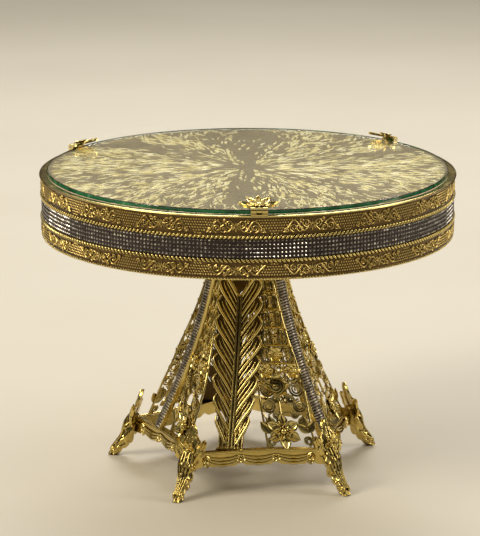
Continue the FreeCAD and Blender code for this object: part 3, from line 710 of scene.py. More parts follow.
# %% [markdown]
# **Faces of the pedestal.** Five ribs flare out from under the drum to a five-sided ring, and five panels
# stand between them. The panels follow the ring's outline, with hollow sides and a corner over each foot,
# and shrink up the flare. Ornament is drawn flat, as seen from the front, and these functions lay it on the
# face of a rib, a panel or a side of the ring. It is then turned to its place round the stand.

# %% Faces of the pedestal
RING_LOW, RING_HIGH = (corner.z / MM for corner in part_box("base_ring"))
PLATE_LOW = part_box("pedestal_plate")[0].z / MM
# How far out a rib's face is at its foot and top, how thick the rib is, and the power of its flare.
RIB_FOOT, RIB_TOP, RIB_THICK, FLARE = 65.6, 22.5, 2.6, 1.6
# How far out the corners and the middle of a panel's outline are, at the ring.
PANEL_CORNER, PANEL_MIDDLE = 81.0, 62.5
# A side of the ring is an arc of this radius round a point this far from the axis.
RING_BOW, RING_BOW_MIDDLE = 231.94, 295.94
# Degrees from one rib to the next, and from the front to the first rib or, the other way, the first panel.
SIDE_TURN, RIB_TURN = 72, 18
# Which of the five ribs are leaves. The others hold stones.
LEAF_ORDER = (True, False, False, True, False)


def rib_out(z):
    """How far out a rib's face is at a height."""
    share = min(1.0, max(0.0, (z - RING_HIGH) / (PLATE_LOW - RING_HIGH)))
    return RIB_TOP + (RIB_FOOT - RIB_TOP) * (1 - share) ** FLARE


def flare_lean(z):
    """Lean of a rib's face at a height, in radians."""
    return atan((rib_out(z - 2) - rib_out(z + 2)) / 4)


def off_rib(z):
    """Direction straight off a rib's face."""
    return (0, -cos(flare_lean(z)), sin(flare_lean(z)))


def on_rib(x, z, proud=0.0):
    """Point on a rib at the front, or proud of it."""
    off = off_rib(z)
    return (x, -rib_out(z) + off[1] * proud, z + off[2] * proud)


half_side = PANEL_CORNER * sin(radians(SIDE_TURN / 2))
hollow = PANEL_CORNER * cos(radians(SIDE_TURN / 2)) - PANEL_MIDDLE
BOW = (half_side ** 2 + hollow ** 2) / (2 * hollow)


def panel_arc(x, z):
    """Middle and radius of the hollow arc that a panel's face follows at a place."""
    size = rib_out(z) / RIB_FOOT
    corner = PANEL_CORNER * size * sin(radians(RIB_TURN))
    turn = radians(-RIB_TURN if x < corner else SIDE_TURN - RIB_TURN)
    reach = (PANEL_MIDDLE + BOW) * size
    return reach * sin(turn), -reach * cos(turn), BOW * size


def off_panel(x, z):
    """Direction straight off a panel's face."""
    across, _, bow = panel_arc(x, z)
    side = (across - x) / bow
    level = cos(flare_lean(z))
    return (side * level, -sqrt(1 - side * side) * level, sin(flare_lean(z)))


def on_panel(x, z, proud=0.0):
    """Point on a panel at the front, or proud of it."""
    across, ahead, bow = panel_arc(x, z)
    off = off_panel(x, z)
    y = ahead + sqrt(bow * bow - (x - across) ** 2)
    return (x + off[0] * proud, y + off[1] * proud, z + off[2] * proud)


def on_ring(x, z, proud=0.0):
    """Point on the front side of the ring, or proud of it."""
    return (x, -(RING_BOW_MIDDLE - sqrt(RING_BOW ** 2 - x * x)) - proud, z)


def raised(face, proud):
    """A face that lies this much higher."""
    return lambda x, z: face(x, z, proud)

print("ring", RING_LOW, RING_HIGH, "plate", PLATE_LOW)

# %% [markdown]
# **Leaf ribs.** The front rib is a pressed leaf: a plate with slots, which the frame has, under raised
# wires. A double midrib runs up to an oval eye. From it lobes rise outwards in a long S and hook upwards at
# the edge, each with two thinner wires inside it. The plate between them is darker, as painted shade. The
# stem is fluted and stands on a row of beads.

# %% Leaf ribs
LEAF_LOW = 38.0
# Half width of the leaf, at what share of its height, and how much it narrows to foot and top.
LEAF_HALF, LEAF_WIDEST, FOOT_LESS, TOP_LESS = 16.5, 0.42, 7.3, 4.9
LOBES = 10
LOBE_PITCH = (PLATE_LOW - LEAF_LOW) / LOBES
EYE_LOW, EYE_HIGH, EYE_HALF = 134.5, 160.5, 6.4
# Points of a lobe: share of the leaf's half width, height from the tip, thickness.
LOBE = [(0.07, -27.0, 0.8), (0.20, -23.5, 1.0), (0.46, -17.5, 1.1), (0.76, -11.5, 1.2), (0.96, -6.5, 1.25),
        (1.04, -2.8, 1.1), (0.98, 0.2, 0.7), (0.86, 1.6, 0.4)]
LOBE_VEINS = (
    [(0.10, -22.0, 0.6), (0.28, -17.3, 0.9), (0.54, -11.4, 1.0), (0.76, -6.2, 0.9), (0.84, -2.8, 0.5)],
    [(0.08, -18.0, 0.6), (0.26, -13.0, 0.8), (0.48, -7.8, 0.9), (0.64, -4.0, 0.8), (0.70, -1.4, 0.5)])
BOLD_PROUD, FINE_PROUD = 0.7, 0.4
BOLD_WIRE, FINE_WIRE = 0.95, 0.65
MIDRIB_HALF, MIDRIB_PROUD = 1.2, 1.3
# Flutes of the stem: places, and spread, height and rise of a flute's points.
FLUTES = (3.0, 5.6, 8.2)
FLUTE = ((1.0, 30.8, 0.4), (1.0, 37, 0.5), (1.1, 46, 0.2))
STEM_BEAD = [(1.1, 0.0), (1.0, 0.7), (0.5, 1.2)]
STEM_BEAD_Z, STEM_BEAD_PITCH = 31.3, 2.1


def leaf_half(z):
    """Half width of the leaf at a height, with its lobes."""
    share = (z - LEAF_LOW) / (PLATE_LOW - LEAF_LOW)
    if share < LEAF_WIDEST:
        return LEAF_HALF - FOOT_LESS * ((LEAF_WIDEST - max(share, 0)) / LEAF_WIDEST) ** 2
    return LEAF_HALF - TOP_LESS * ((share - LEAF_WIDEST) / (1 - LEAF_WIDEST)) ** 2


def eye_room(z):
    """Half width of the eye at a height."""
    share = (z - EYE_LOW) / (EYE_HIGH - EYE_LOW)
    return EYE_HALF * sin(pi * share) if 0 < share < 1 else 0.0


def lobe_run(sign, tip, shape, proud):
    """A wire of the lobe with its tip at this height. It keeps out of the eye and ends at ring and plate."""
    run = []
    for share, rise, thick in shape:
        z = tip + rise
        x = max(share * leaf_half(z), eye_room(z))
        if RING_HIGH + 1 < z < PLATE_LOW - 1:
            run.append(on_rib(sign * x, z, proud) + (thick,))
    return run


bold = []
fine = []
for sign in (-1, 1):
    for lobe in range(1, LOBES + 1):
        tip = LEAF_LOW + lobe * LOBE_PITCH
        bold.append(lobe_run(sign, tip, LOBE, BOLD_PROUD))
        fine += [lobe_run(sign, tip, vein, FINE_PROUD) for vein in LOBE_VEINS]
    for x in FLUTES:
        fine.append([on_rib(sign * x * spread, z, proud) for spread, z, proud in FLUTE])
    bold.append([on_rib(sign * MIDRIB_HALF, z, MIDRIB_PROUD) for z in range(31, 136, 8)])
eye = []
for step in range(17):
    turn = step * pi / 8
    z = (EYE_LOW + EYE_HIGH) / 2 - (EYE_HIGH - EYE_LOW) / 2 * cos(turn)
    eye.append(on_rib(EYE_HALF * sin(turn), z, BOLD_PROUD))
bold.append(eye)
beads = [(on_rib(x * STEM_BEAD_PITCH, STEM_BEAD_Z), off_rib(STEM_BEAD_Z)) for x in range(-4, 5)]
fine = [run for run in fine if len(run) > 2]
leaf_relief = join("leaf_relief", [
    wires("leaf_wires", bold, BOLD_WIRE, 2), wires("leaf_veins", fine, FINE_WIRE),
    turnings("leaf_beads", beads, STEM_BEAD, 8)])
leaf_turns = [side * SIDE_TURN - RIB_TURN for side in range(5) if LEAF_ORDER[side]]
for number, turn in enumerate(leaf_turns, 1):
    dress(turned_copy(leaf_relief, "leaf_relief_%d" % number, turn), polished_gold)
    # The leaf's plate gets the darker gold: painted shade between the wires.
    finish(frame["nodes"]["leaf_rib_%d" % number], painted_shade_gold)
bpy.data.objects.remove(leaf_relief)

# %% [markdown]
# **Stone ribs.** The other three ribs are channels. Each holds a strip that is rounded across, like a cord
# pressed flat: close rows of tiny stones, which show as ridges, over a dark ground and between beaded
# edges.

# %% Stone ribs
CHANNEL_HALF, STRIP_HALF, STRIP_RISE = 7.4, 5.9, 3.1
EDGE_BEAD = [(0.7, 0.0), (0.64, 0.4), (0.3, 0.7)]
BEADS_OUT = CHANNEL_HALF - 0.65
# Distance of the stones' bed from ring and plate; then margin and pitch of the rows of stones and beads.
BED_MARGIN = 0.5
STONE_STEPS, BEAD_STEPS = (1.2, 2.1), (1.0, 1.9)
ROW_WIRE = 0.8


def on_strip_top(side, z, drop=0.0):
    """Point on the rounded strip, side from -1 to 1, or under it."""
    return on_rib(side * STRIP_HALF, z, STRIP_RISE * (1 - side * side) - drop)


def up_rib(margin, pitch):
    """Heights at an even pitch along the slope of a rib."""
    heights = []
    z = RING_HIGH + margin
    while z < PLATE_LOW - margin:
        heights.append(z)
        z += pitch * cos(flare_lean(z))
    return heights


def bed_place(side, way):
    return on_strip_top(side, RING_HIGH + BED_MARGIN + way * (PLATE_LOW - RING_HIGH - 2 * BED_MARGIN), 0.1)


ridges = [[on_strip_top(side / 3, z) for side in range(-3, 4)] for z in up_rib(*STONE_STEPS)]
beads = [(on_rib(sign * BEADS_OUT, z, 0.5), off_rib(z)) for z in up_rib(*BEAD_STEPS) for sign in (-1, 1)]
stone_strip = wires("stone_strip", ridges, ROW_WIRE, 1, 2)
bead_edges = smooth(turnings("bead_edges", beads, EDGE_BEAD, 6), 70)
strip_bed = blade("strip_bed", bed_place, 8, 40, 0.2)
stone_turns = [side * SIDE_TURN - RIB_TURN for side in range(5) if not LEAF_ORDER[side]]
for number, turn in enumerate(stone_turns, 1):
    dress(turned_copy(stone_strip, "stone_strip_%d" % number, turn), smoked_stones)
    dress(turned_copy(bead_edges, "bead_edges_%d" % number, turn), polished_gold)
    dress(turned_copy(strip_bed, "strip_bed_%d" % number, turn), dark_mesh,
          nodes=["rib_stones_%d" % number])
for made in (stone_strip, bead_edges, strip_bed):
    bpy.data.objects.remove(made)

# %% [markdown]
# **Filigree panels.** Each panel is wirework soldered to a frame of wires. A six-petalled flower stands on
# the ring, with coiled wires over it and a rose above. Higher up is a lattice: pairs of leaf loops with
# small squares between. Petals are shaped grids, cupped and lifted off the panel; the rest is wires and
# beads.

# %% Petals and rosettes
BOSS = [(2.3, 0), (2.1, 1.0), (1.4, 1.8), (0.5, 2.2)]
SEED = [(0.7, 0), (0.6, 0.6), (0.3, 0.9)]
SEEDS_OUT = 3.0
FLOWER = (0.0, RING_HIGH + 11)


def petal(name, centre, turn, length, half, lift, curl, face, across=4, along=7, swell=0.8):
    """A pointed petal with raised edges and a lifted tip. With more swell it is widest further out."""
    def place(side, way):
        wide = half * sin(pi * way ** swell) + 0.15
        x = centre[0] + way * length * sin(turn) + side * wide * cos(turn)
        z = centre[1] + way * length * cos(turn) - side * wide * sin(turn)
        fold = (1.1 * side * side + 0.4 * cos(9 * side)) * sin(pi * way)
        return face(x, z, lift + curl * way * way + fold)
    return blade(name, place, across, along, 0.6)


def rosette(name, centre, size, count, face, off, lift):
    """A small flower: petals round a boss."""
    made = []
    for step in range(count):
        turn = 2 * pi * (step + 0.5) / count
        made.append(petal(name, centre, turn, size, size * 0.42, lift, 0.8, face, 3, 4))
    dome = [(size * 0.32, 0), (size * 0.28, 0.8), (size * 0.12, 1.3)]
    boss = turnings(name, [(face(*centre, lift), off(*centre))], dome, 8)
    return join(name, made + [smooth(boss, 80)])


flower = []
for step in range(6):
    turn = step * pi / 3
    flower.append(petal("flower", FLOWER, turn, 11.6, 3.7, 0.6, 2.0, on_panel, 12, 10, swell=1.5))
    flower.append(petal("flower", FLOWER, turn + pi / 6, 7.0, 2.3, 1.6, 1.4, on_panel, 6, 7, swell=1.3))
beads = [(on_panel(*FLOWER, 2.0), off_panel(*FLOWER))]
flower.append(smooth(turnings("flower", beads, BOSS, 12), 80))
beads = []
for step in range(10):
    turn = step * pi / 5
    x, z = FLOWER[0] + SEEDS_OUT * sin(turn), FLOWER[1] + SEEDS_OUT * cos(turn)
    beads.append((on_panel(x, z, 2.0), off_panel(x, z)))
flower.append(smooth(turnings("flower", beads, SEED, 6), 80))
flower = join("flower", flower)
print("flower", len(flower.data.polygons), "faces")

# %% Lattice of a panel
ROOM_TURN = radians(SIDE_TURN / 2)
FIELD_LOW = RING_HIGH + 44
FIELD_ROWS = 8
EDGE_GAP = 1.1
# Places across, pitches and half widths are shares of half the field; heights are from a row's middle.
LOOP_AT, LOOP_HALF, LOOP_TALL = 0.58, 0.32, 5.9
VEIN_TALL, VEIN_PROUD = 5, 0.3
CURL_UP, CURL_HALF = 2.6, 0.2
BEAD_AT, BEAD_UP = 0.36, 5.2
SQUARE_HALF, SQUARE_LEAST, SQUARE_UP = 0.19, 1.3, 3.0
# Coils along the bar under a row, in turn above and below it.
COIL_PITCH, COIL_HALF, COIL_ABOVE, COIL_BELOW = 0.29, 0.13, 1.6, -1.2
BAR_RISE, BAR_PROUD = 1.2, 0.4
LATTICE_PROUD = 0.6
SQUARE = ((-1, -1), (-1, 1), (1, 1), (1, -1), (-1, -1))


def panel_room(z, beside_leaf):
    """Half width out to a panel's edge wire, which runs straight down below the lattice."""
    z = max(z, FIELD_LOW)
    rib_half = leaf_half(z) if beside_leaf else CHANNEL_HALF
    return (rib_out(z) - RIB_THICK) * sin(ROOM_TURN) - rib_half * cos(ROOM_TURN) - EDGE_GAP


def loop(x, z, half, tall, proud):
    """A leaf loop."""
    return [on_panel(x + half * sin(turn), z - tall * cos(turn), proud)
            for turn in (step * pi / 6 for step in range(13))]


def lattice(left_leaf, right_leaf):
    """Heavy wires, light wires and beads of the field above the flower."""
    rows = []
    for row in range(FIELD_ROWS + 1):
        z = FIELD_LOW + row * (PLATE_LOW - 0.8 - FIELD_LOW) / FIELD_ROWS
        left, right = panel_room(z, left_leaf), panel_room(z, right_leaf)
        rows.append((z, (right - left) / 2, (right + left) / 2))
    heavy, light, beads = [], [], []
    for (z0, m0, h0), (z1, m1, h1) in zip(rows[:-1], rows[1:]):
        middle, half, z = (m0 + m1) / 2, (h0 + h1) / 2, (z0 + z1) / 2
        heavy.append([on_panel(m0 - h0, z0), on_panel(m0, z0 + BAR_RISE, BAR_PROUD), on_panel(m0 + h0, z0)])
        for sign in (-1, 1):
            x = middle + sign * LOOP_AT * half
            heavy.append(loop(x, z, LOOP_HALF * half, LOOP_TALL, LATTICE_PROUD))
            light.append([on_panel(x, z + end * VEIN_TALL, VEIN_PROUD) for end in (-1, 1)])
            for end in (-1, 1):
                centre = (x, z + end * CURL_UP)
                light.append(spiral(centre, CURL_HALF * half + 0.5, 1.4, -end * pi / 2, sign, on_panel))
                beads.append((x + sign * BEAD_AT * half, z + end * BEAD_UP))
        for step in range(-3, 4):
            odd = step % 2
            centre = (middle + step * COIL_PITCH * half, z0 + (COIL_ABOVE if odd else COIL_BELOW))
            light.append(spiral(centre, COIL_HALF * half + 0.7, 1.3, pi / 2, 1 if odd else -1, on_panel))
        box = max(SQUARE_LEAST, SQUARE_HALF * half)
        for lift in (-SQUARE_UP, SQUARE_UP):
            light.append([on_panel(middle + dx * box, z + lift + dz * box, LATTICE_PROUD)
                          for dx, dz in SQUARE])
            beads.append((middle, z + 2 * lift))
    return heavy, light, beads


print("field of a panel from", FIELD_LOW, "to", PLATE_LOW)

# %% Panels
# Coils beside the flower: height, size and distance from the edge wire.
COILS = ((58.0, 5.0, 0), (69.0, 5.4, 0), (46.5, 4.0, 0), (63.0, 3.0, 7.5), (52.0, 2.6, 6.5))
CORNER_COIL_Z, CORNER_COIL = 34.5, 3.4
# Leaves of a sprig: turn and length. Its foot: distance from the edge wire, and height.
SPRIG = ((0.2, 12), (0.9, 9), (-0.5, 9))
SPRIG_IN, SPRIG_Z, SPRIG_HALF = 2, 40, 2.4
# The rose over the flower and a smaller one above it: place and size.
ROSE, ROSE_SIZE = (0, 71.5), 8.6
HIGH_ROSE, HIGH_ROSE_SIZE = (2.5, 93), 5.2
# A rose at each side: distance from the edge wire, height and size.
SIDE_ROSE_IN, SIDE_ROSE_Z, SIDE_ROSE_SIZE = 6.5, 82, 5.4
ROSE_LIFT = 1.2
HEAVY_WIRE, LIGHT_WIRE = 0.85, 0.55
PANEL_BEAD = [(1.0, -0.3), (0.9, 0.6), (0.4, 1.1)]


def lower_wires(sign, beside_leaf):
    """Edge wire, coils and tendrils on one side of the flower."""
    edge = panel_room(FIELD_LOW, beside_leaf)
    levels = [RING_HIGH, 45, 60, FIELD_LOW] + [FIELD_LOW + 12.3 * step for step in range(1, 9)]
    heavy = [[on_panel(sign * panel_room(z, beside_leaf), z) for z in levels]]
    for z, size, inward in COILS:
        centre = (sign * (edge - size - inward), z)
        heavy.append(spiral(centre, size, 2.4, pi / 2, sign, raised(on_panel, 0.8), 0.3))
    centre = (sign * (edge - CORNER_COIL), CORNER_COIL_Z)
    heavy.append(spiral(centre, CORNER_COIL, 2.0, -pi / 2, sign, raised(on_panel, 0.5), 0.3))
    tendrils = (((0, 60, 0), (3, 65, 0.6), (0.6 * edge, 63, 0.8)),
                ((0, 52, 0), (4, 56, 0.6), (0.7 * edge, 52, 0.8)),
                ((edge, 40, 0), (edge - 4, 47, 1.0), (edge - 1, 53, 0.4)))
    light = [[on_panel(sign * x, z, proud) for x, z, proud in tendril] for tendril in tendrils]
    return heavy, light


def panel(name, left_leaf, right_leaf):
    """A whole panel at the front, shaped for the rib at each side of it."""
    heavy, light, beads = lattice(left_leaf, right_leaf)
    made = []
    for sign, beside_leaf in ((-1, left_leaf), (1, right_leaf)):
        more = lower_wires(sign, beside_leaf)
        heavy += more[0]
        light += more[1]
        edge = panel_room(FIELD_LOW, beside_leaf)
        centre = (sign * (edge - SIDE_ROSE_IN), SIDE_ROSE_Z)
        made.append(rosette("rosette", centre, SIDE_ROSE_SIZE, 6, on_panel, off_panel, ROSE_LIFT))
        foot = (sign * (edge - SPRIG_IN), SPRIG_Z)
        for turn, length in SPRIG:
            made.append(petal("sprig", foot, -sign * turn, length, SPRIG_HALF, 0.6, 1.6, on_panel))
    heavy.append([on_panel(0, 50, 0.3), on_panel(0.6, 58, 0.6), on_panel(0, 66, 0.3)])
    heavy.append(spiral(ROSE, 6.0, 2.6, -pi / 2, 1, raised(on_panel, 1.4), 0.2))
    made.append(rosette("rosette", ROSE, ROSE_SIZE, 7, on_panel, off_panel, 0.5))
    made.append(rosette("rosette", HIGH_ROSE, HIGH_ROSE_SIZE, 6, on_panel, off_panel, ROSE_LIFT))
    pick(flower)
    bpy.ops.object.duplicate()
    made.append(named("flower_copy"))
    made.append(wires("panel_heavy", heavy, HEAVY_WIRE))
    made.append(wires("panel_light", light, LIGHT_WIRE, 1, 2))
    places = [(on_panel(x, z, 0.2), off_panel(x, z)) for x, z in beads]
    made.append(smooth(turnings("panel_beads", places, PANEL_BEAD, 6), 80))
    return join(name, made)


patterns = {}
for side in range(5):
    kind = (LEAF_ORDER[side], LEAF_ORDER[(side + 1) % 5])
    if kind not in patterns:
        patterns[kind] = panel("panel", *kind)
    made = turned_copy(patterns[kind], "filigree_panel_%d" % (side + 1), side * SIDE_TURN + RIB_TURN)
    dress(made, polished_gold, nodes=["filigree_%d" % (side + 1)])
for made in [flower, *patterns.values()]:
    bpy.data.objects.remove(made)

# %% [markdown]
# **Ring.** Each side of the ring carries a smooth bead along its top and three swags, drawn as three
# hanging wires each, with small flowers between them and two scrolls beside each foot.

# %% Ring ornament
SWAG, SWAG_HALF = 25.27, 11.6
# Wires of a swag: height of the ends, and how far it hangs.
SWAG_WIRES = ((26.6, 2.2), (25.0, 3.0), (23.4, 3.6))
# Scrolls beside a foot: way of winding, height and size.
FOOT_SCROLLS = ((1, 24.6, 3.2), (-1, 21.4, 2.0))
RING_PROUD = 0.5
thick = [[on_ring(x, RING_HIGH - 0.5, 0.2) for x in range(-48, 49, 8)]]
thin = []
for swag in (-1, 0, 1):
    for top, drop in SWAG_WIRES:
        run = []
        for step in range(-4, 5):
            share = step / 4
            z = top - drop * (1 - share * share)
            run.append(on_ring(swag * SWAG + share * SWAG_HALF, z, RING_PROUD) + (1.3 - 0.6 * share * share,))
        thin.append(run)
for end in (-1, 1):
    for way, z, size in FOOT_SCROLLS:
        thin.append(spiral((end * 1.5 * SWAG, z), size, 2.0, pi / 2 * way, way * end,
                           raised(on_ring, RING_PROUD), 0.3))
ornament = [rosette("ring_flower", (gap * SWAG, 24.0), 3.0, 6, on_ring, lambda x, z: (0, -1, 0), 0.4)
            for gap in (-0.5, 0.5)]
ornament.append(wires("ring_thick", thick, 1.15, 2))
ornament.append(wires("ring_thin", thin, 0.9))
ring_ornament = join("ring_ornament", ornament)
repeat_round(ring_ornament, 5)
dress(ring_ornament, polished_gold)

# %% [markdown]
# **Feet.** A foot is a cast cabriole leg with overlapping acanthus leaves. The leg could be sculpted, but a
# rule gives the same leg each run: it is a tube, a grid rolled round a line of oval sections, with the
# leaves as steps and flutes in its surface. A standing leaf rises over the ring's corner with a leaflet at
# each side, and a scroll forms the toe.

# %% Leg of a foot
# Sections down the leg: distance from the axis, height, lean in degrees, and half width across and along.
SECTIONS = [(84.2, 32.4, 20, 4.3, 3.1), (88.3, 23.1, 30, 6.2, 5.3), (91.9, 12.9, 42, 5.0, 4.6),
            (98.6, 5.7, 46, 3.6, 3.6), (104.0, -1.2, 35, 3.1, 2.6)]
LEG_TIERS = 6
LEAF_SWELL, LEAF_FLUTE, LEAF_SINK = 2.0, 0.8, 0.9


def leg_section(way):
    """Section of the leg a share of the way down, smoothed between the known ones."""
    place = way * (len(SECTIONS) - 1)
    i = min(int(place), len(SECTIONS) - 2)
    t = place - i
    before, after = SECTIONS[max(i - 1, 0)], SECTIONS[min(i + 2, len(SECTIONS) - 1)]
    return [0.5 * (2 * q + (r - p) * t + (2 * p - 5 * q + 4 * r - s) * t * t
                   + (3 * q - p - 3 * r + s) * t ** 3)
            for p, q, r, s in zip(before, SECTIONS[i], SECTIONS[i + 1], after)]


def on_leg(turn, way, proud=0.0):
    """Point round the leg, a share of the way down, that is never under the floor."""
    out, z, lean, across, along = leg_section(way)
    lean = radians(lean)
    deep = (along + proud) * sin(turn)
    x = (across + proud) * cos(turn)
    return (x, -out + deep * cos(lean), max(0.0, z - deep * sin(lean)))


def leg_place(side, way):
    """The leg's skin: tiers of leaves that swell towards their tips, with lobes across."""
    turn = side * pi + pi / 2
    tier = way * LEG_TIERS
    leaf = tier % 1.0
    swell = LEAF_SWELL * leaf ** 1.3 * (1 - 0.45 * way)
    lobes = LEAF_FLUTE * cos(5 * turn + pi * int(tier)) * sin(pi * leaf)
    return on_leg(turn, way, swell + lobes - LEAF_SINK)


leg = shaped_grid("leg", leg_place, 48, 72)
work_mesh(leg, (bpy.ops.mesh.remove_doubles, {"threshold": 2 * MERGE * MM}),
          (bpy.ops.mesh.fill_holes, {"sides": 0}))
smooth(leg, 50)
print("leg", len(leg.data.polygons), "faces")

# %% Leaves, toe and feet
CREST_OUT, CREST_LEAN, CREST_TALL = 86.6, 7.5, 22
# Leaves of a crest: place across, tilt, height and half width.
CREST = ((0, 0, 25.5, 6.8), (-3.5, -0.5, 17, 4.4), (3.5, 0.5, 17, 4.4))
# Notches along a crest leaf's edge, and the height of its crown and its veins.
NOTCHES, NOTCH_DEEP, CROWN, VEIN = 3.5, 0.16, 1.3, 0.4
CREST_SUNK, CREST_THICK = 4, 1.6
# The leaning front of a crest: how far out it is, at what height, and how much it leans.
CORNER_OUT, CORNER_Z, CORNER_LEAN = 87.6, 30, 0.25
TOE_SIDE, TOE_OUT, TOE_HIGH = 2.6, 101.5, 4.0


def crest_leaf(name, x0, tilt, tall, half):
    """A standing leaf with a notched edge that leans in over the ring's corner."""
    def place(side, way):
        notch = 1 + NOTCH_DEEP * cos(way * 2 * pi * NOTCHES)
        wide = half * (1 - way ** 2.2) ** 0.7 * (0.75 + 0.5 * sin(pi * way)) * notch
        x = x0 + side * wide * cos(tilt) + tall * way * sin(tilt)
        z = RING_HIGH - CREST_SUNK + tall * way * cos(tilt) - side * wide * sin(tilt)
        lean = CREST_LEAN * max(0.0, (z - RING_HIGH) / CREST_TALL) ** 1.1
        return (x, -(CREST_OUT - lean + CROWN * (1 - side * side) - VEIN * cos(side * 9)), z)
    return blade(name, place, 12, 14, CREST_THICK)


def on_corner(x, z, proud):
    """Point on the leaning front of a crest."""
    return (x, -(CORNER_OUT - CORNER_LEAN * (z - CORNER_Z)) - proud, z)


parts = [leg]
for x0, tilt, tall, half in CREST:
    parts.append(crest_leaf("crest", x0, tilt, tall, half))
toes = []
for sign in (-1, 1):
    toes.append(spiral((0, TOE_HIGH), 3.0, 1.6, -pi / 2, 1,
                       lambda along, z: (sign * TOE_SIDE, along - TOE_OUT, z), 0.2))
parts.append(wires("toe", toes, 1.1, 2))
veins = []
for spread in (-0.9, -0.45, 0, 0.45, 0.9):
    veins.append([on_leg(-pi / 2 + spread * (1 - k / 12), 0.06 + 0.13 * k, 0.9) + (1.1 - 0.1 * k,)
                  for k in range(7)])
parts.append(wires("veins", veins, 0.7))
parts.append(rosette("corner_rose", (0, 33.5), 6.0, 7, on_corner, lambda x, z: (0, -1, 0.2), 0.8))
foot = join("foot_leaves", parts)
for number in range(1, 6):
    copy = turned_copy(foot, "foot_leaves_%d" % number, (number - 0.5) * SIDE_TURN)
    dress(copy, cast_gold, nodes=["foot_%d" % number])
bpy.data.objects.remove(foot)

# %% [markdown]
# **Claws.** Three hinged claws reach over the glass. The frame has their plates; each gets raised wires
# round its petals, with a bead at each tip, and a small open flower with a boss. These ride on the claw, so
# they swing with it.

# %% Claw ornament
# A claw is a leaning fan, which starts a little inside its hinge pin.
PIN_OUT, PIN_TO_FAN = 147.5, 2.2
FAN_OUT, FAN_LOW, FAN_THICK = PIN_OUT - PIN_TO_FAN, 224.9, 1.2
FAN_LEAN, FAN_STEP = radians(74), radians(34)
# Start, length and half width of the petals, and the place of their beads.
PETAL_START, PETAL_LONG, PETAL_HALF, TIP_AT = 1.6, 14.2, 2.5, 13.4
TIP_BEAD = [(1.1, 0), (0.95, 0.5), (0.4, 0.9)]
CLAW_BOSS = [(2.4, 0), (2.2, 0.8), (1.2, 1.4)]
CLAW_ROSE = (0, 3.6)
CLAW_TURNS = (("front", -4), ("right", 126), ("left", -126))
OFF_FAN = (0, -0.3, 1)


def on_fan(x, up, proud):
    """Point on the upper face of a claw at the front."""
    lift = FAN_THICK + proud
    return (x, -FAN_OUT + up * sin(FAN_LEAN) - lift * cos(FAN_LEAN),
            FAN_LOW + up * cos(FAN_LEAN) + lift * sin(FAN_LEAN))


runs = []
tips = []
for step in range(-2, 3):
    turn = FAN_STEP * step
    for sign in (-1, 1):
        run = []
        for k in range(9):
            along = PETAL_LONG * k / 8
            wide = sign * PETAL_HALF * sin(pi * k / 8)
            run.append(on_fan(along * sin(turn) + wide * cos(turn),
                              PETAL_START + along * cos(turn) - wide * sin(turn), 0.1))
        runs.append(run)
    tips.append((on_fan(TIP_AT * sin(turn), PETAL_START + TIP_AT * cos(turn), 0), OFF_FAN))
boss = [(on_fan(*CLAW_ROSE, 0), OFF_FAN)]
made = [wires("claw_wires", runs, 0.55), smooth(turnings("claw_tips", tips, TIP_BEAD, 8), 80),
        smooth(turnings("claw_boss", boss, CLAW_BOSS, 12), 80)]
for step in range(7):
    made.append(petal("claw_rose", CLAW_ROSE, step * 2 * pi / 7, 4.6, 2.1, 0.3, 1.8, on_fan, 4, 5))
claw_petals = join("claw_petals", made)
for where, turn in CLAW_TURNS:
    copy = turned_copy(claw_petals, "claw_petals_" + where, turn)
    dress(copy, polished_gold, "claw_" + where)
bpy.data.objects.remove(claw_petals)

# %% [markdown]
# **Camera, floor and light.** The camera stands about 2 m off, a little to the left and above, as in the
# photograph. The floor is plain and pale. Plated metal needs something to reflect, so the light is soft but
# uneven: a bright ceiling, darker walls, darkest in front, and three large lamps.

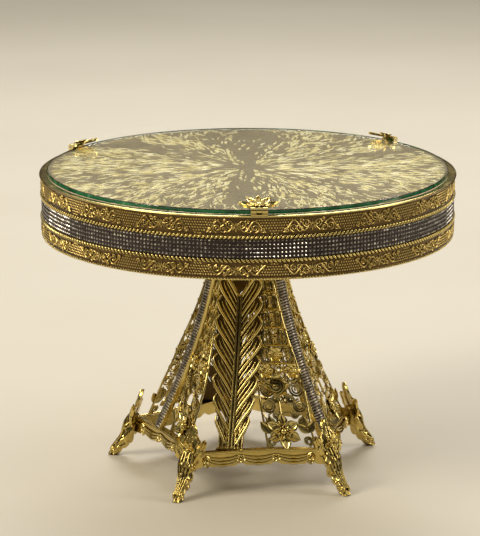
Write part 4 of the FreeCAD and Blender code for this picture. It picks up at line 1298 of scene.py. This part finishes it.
# %% Camera
CAMERA_PLACE = (-0.2283, -1.8594, 0.6146)
CAMERA_AHEAD = Vector((0.1154, 0.9635, -0.2416))
SENSOR_MM, LENS_MM = 36, 178.3
pick()
bpy.ops.object.camera_add(location=CAMERA_PLACE)
camera = bpy.context.object
camera.rotation_euler = CAMERA_AHEAD.to_track_quat("-Z", "Y").to_euler()
camera.data.sensor_width = SENSOR_MM
camera.data.lens = LENS_MM
camera.data.clip_end = 50
bpy.context.scene.camera = camera
bpy.context.scene.view_settings.view_transform = "Standard"
print("camera at", CAMERA_PLACE)

# %% Floor
pale_floor = mottled("pale matt floor", NOISE, 400, [
    (0.3, "#d9d2c3"), (0.7, "#dfd9cb")], {"Roughness": 0.6}, Detail=3.0)
pick()
bpy.ops.mesh.primitive_plane_add(size=14)
floor = named("floor")
floor.data.materials.append(pale_floor)
print(floor.name, pale_floor.name)

# %% Lamps and surroundings
def lamp(name, place, aim_height, size, power, tint):
    """A large lamp that points at the stand."""
    pick()
    bpy.ops.object.light_add(type="AREA", location=place)
    made = bpy.context.object
    made.name = name
    made.data.shape = "RECTANGLE"
    made.data.size, made.data.size_y = size
    made.data.energy = power
    made.data.color = colour(tint)[:3]
    made.rotation_euler = (Vector((0, 0, aim_height)) - Vector(place)).to_track_quat("-Z", "Y").to_euler()


lamp("key_lamp", (-1.75, -0.6, 1.5), aim_height=0.12, size=(0.9, 0.9), power=27, tint="#fff6e4")
lamp("side_lamp", (1.6, -0.3, 0.9), aim_height=0.12, size=(0.4, 1.2), power=9, tint="#fff8ee")
lamp("back_lamp", (0.3, 1.6, 1.5), aim_height=0.15, size=(1.2, 0.5), power=20, tint="#fbf8f2")

world = bpy.data.worlds.new("soft room")
bpy.context.scene.world = world
world.use_nodes = True
tree = world.node_tree
way = add_node(tree, "ShaderNodeTexCoord").outputs["Generated"]
parts = add_node(tree, "ShaderNodeSeparateXYZ", {"Vector": way})
tones = add_node(tree, "ShaderNodeValToRGB", {"Fac": parts.outputs["Z"]})
set_ramp(tones, [(0.0, "#3a342d"), (0.25, "#4d473f"), (0.5, "#a8a398"), (0.9, "#f6f1e6")])
front = add_node(tree, "ShaderNodeMapRange", {
    "Value": parts.outputs["Y"], "From Min": -1.0, "From Max": 0.1, "To Min": 0.4, "To Max": 0.85})
feed(tree.nodes["Background"], {"Color": tones.outputs["Color"], "Strength": front.outputs["Result"]})
print("lit")
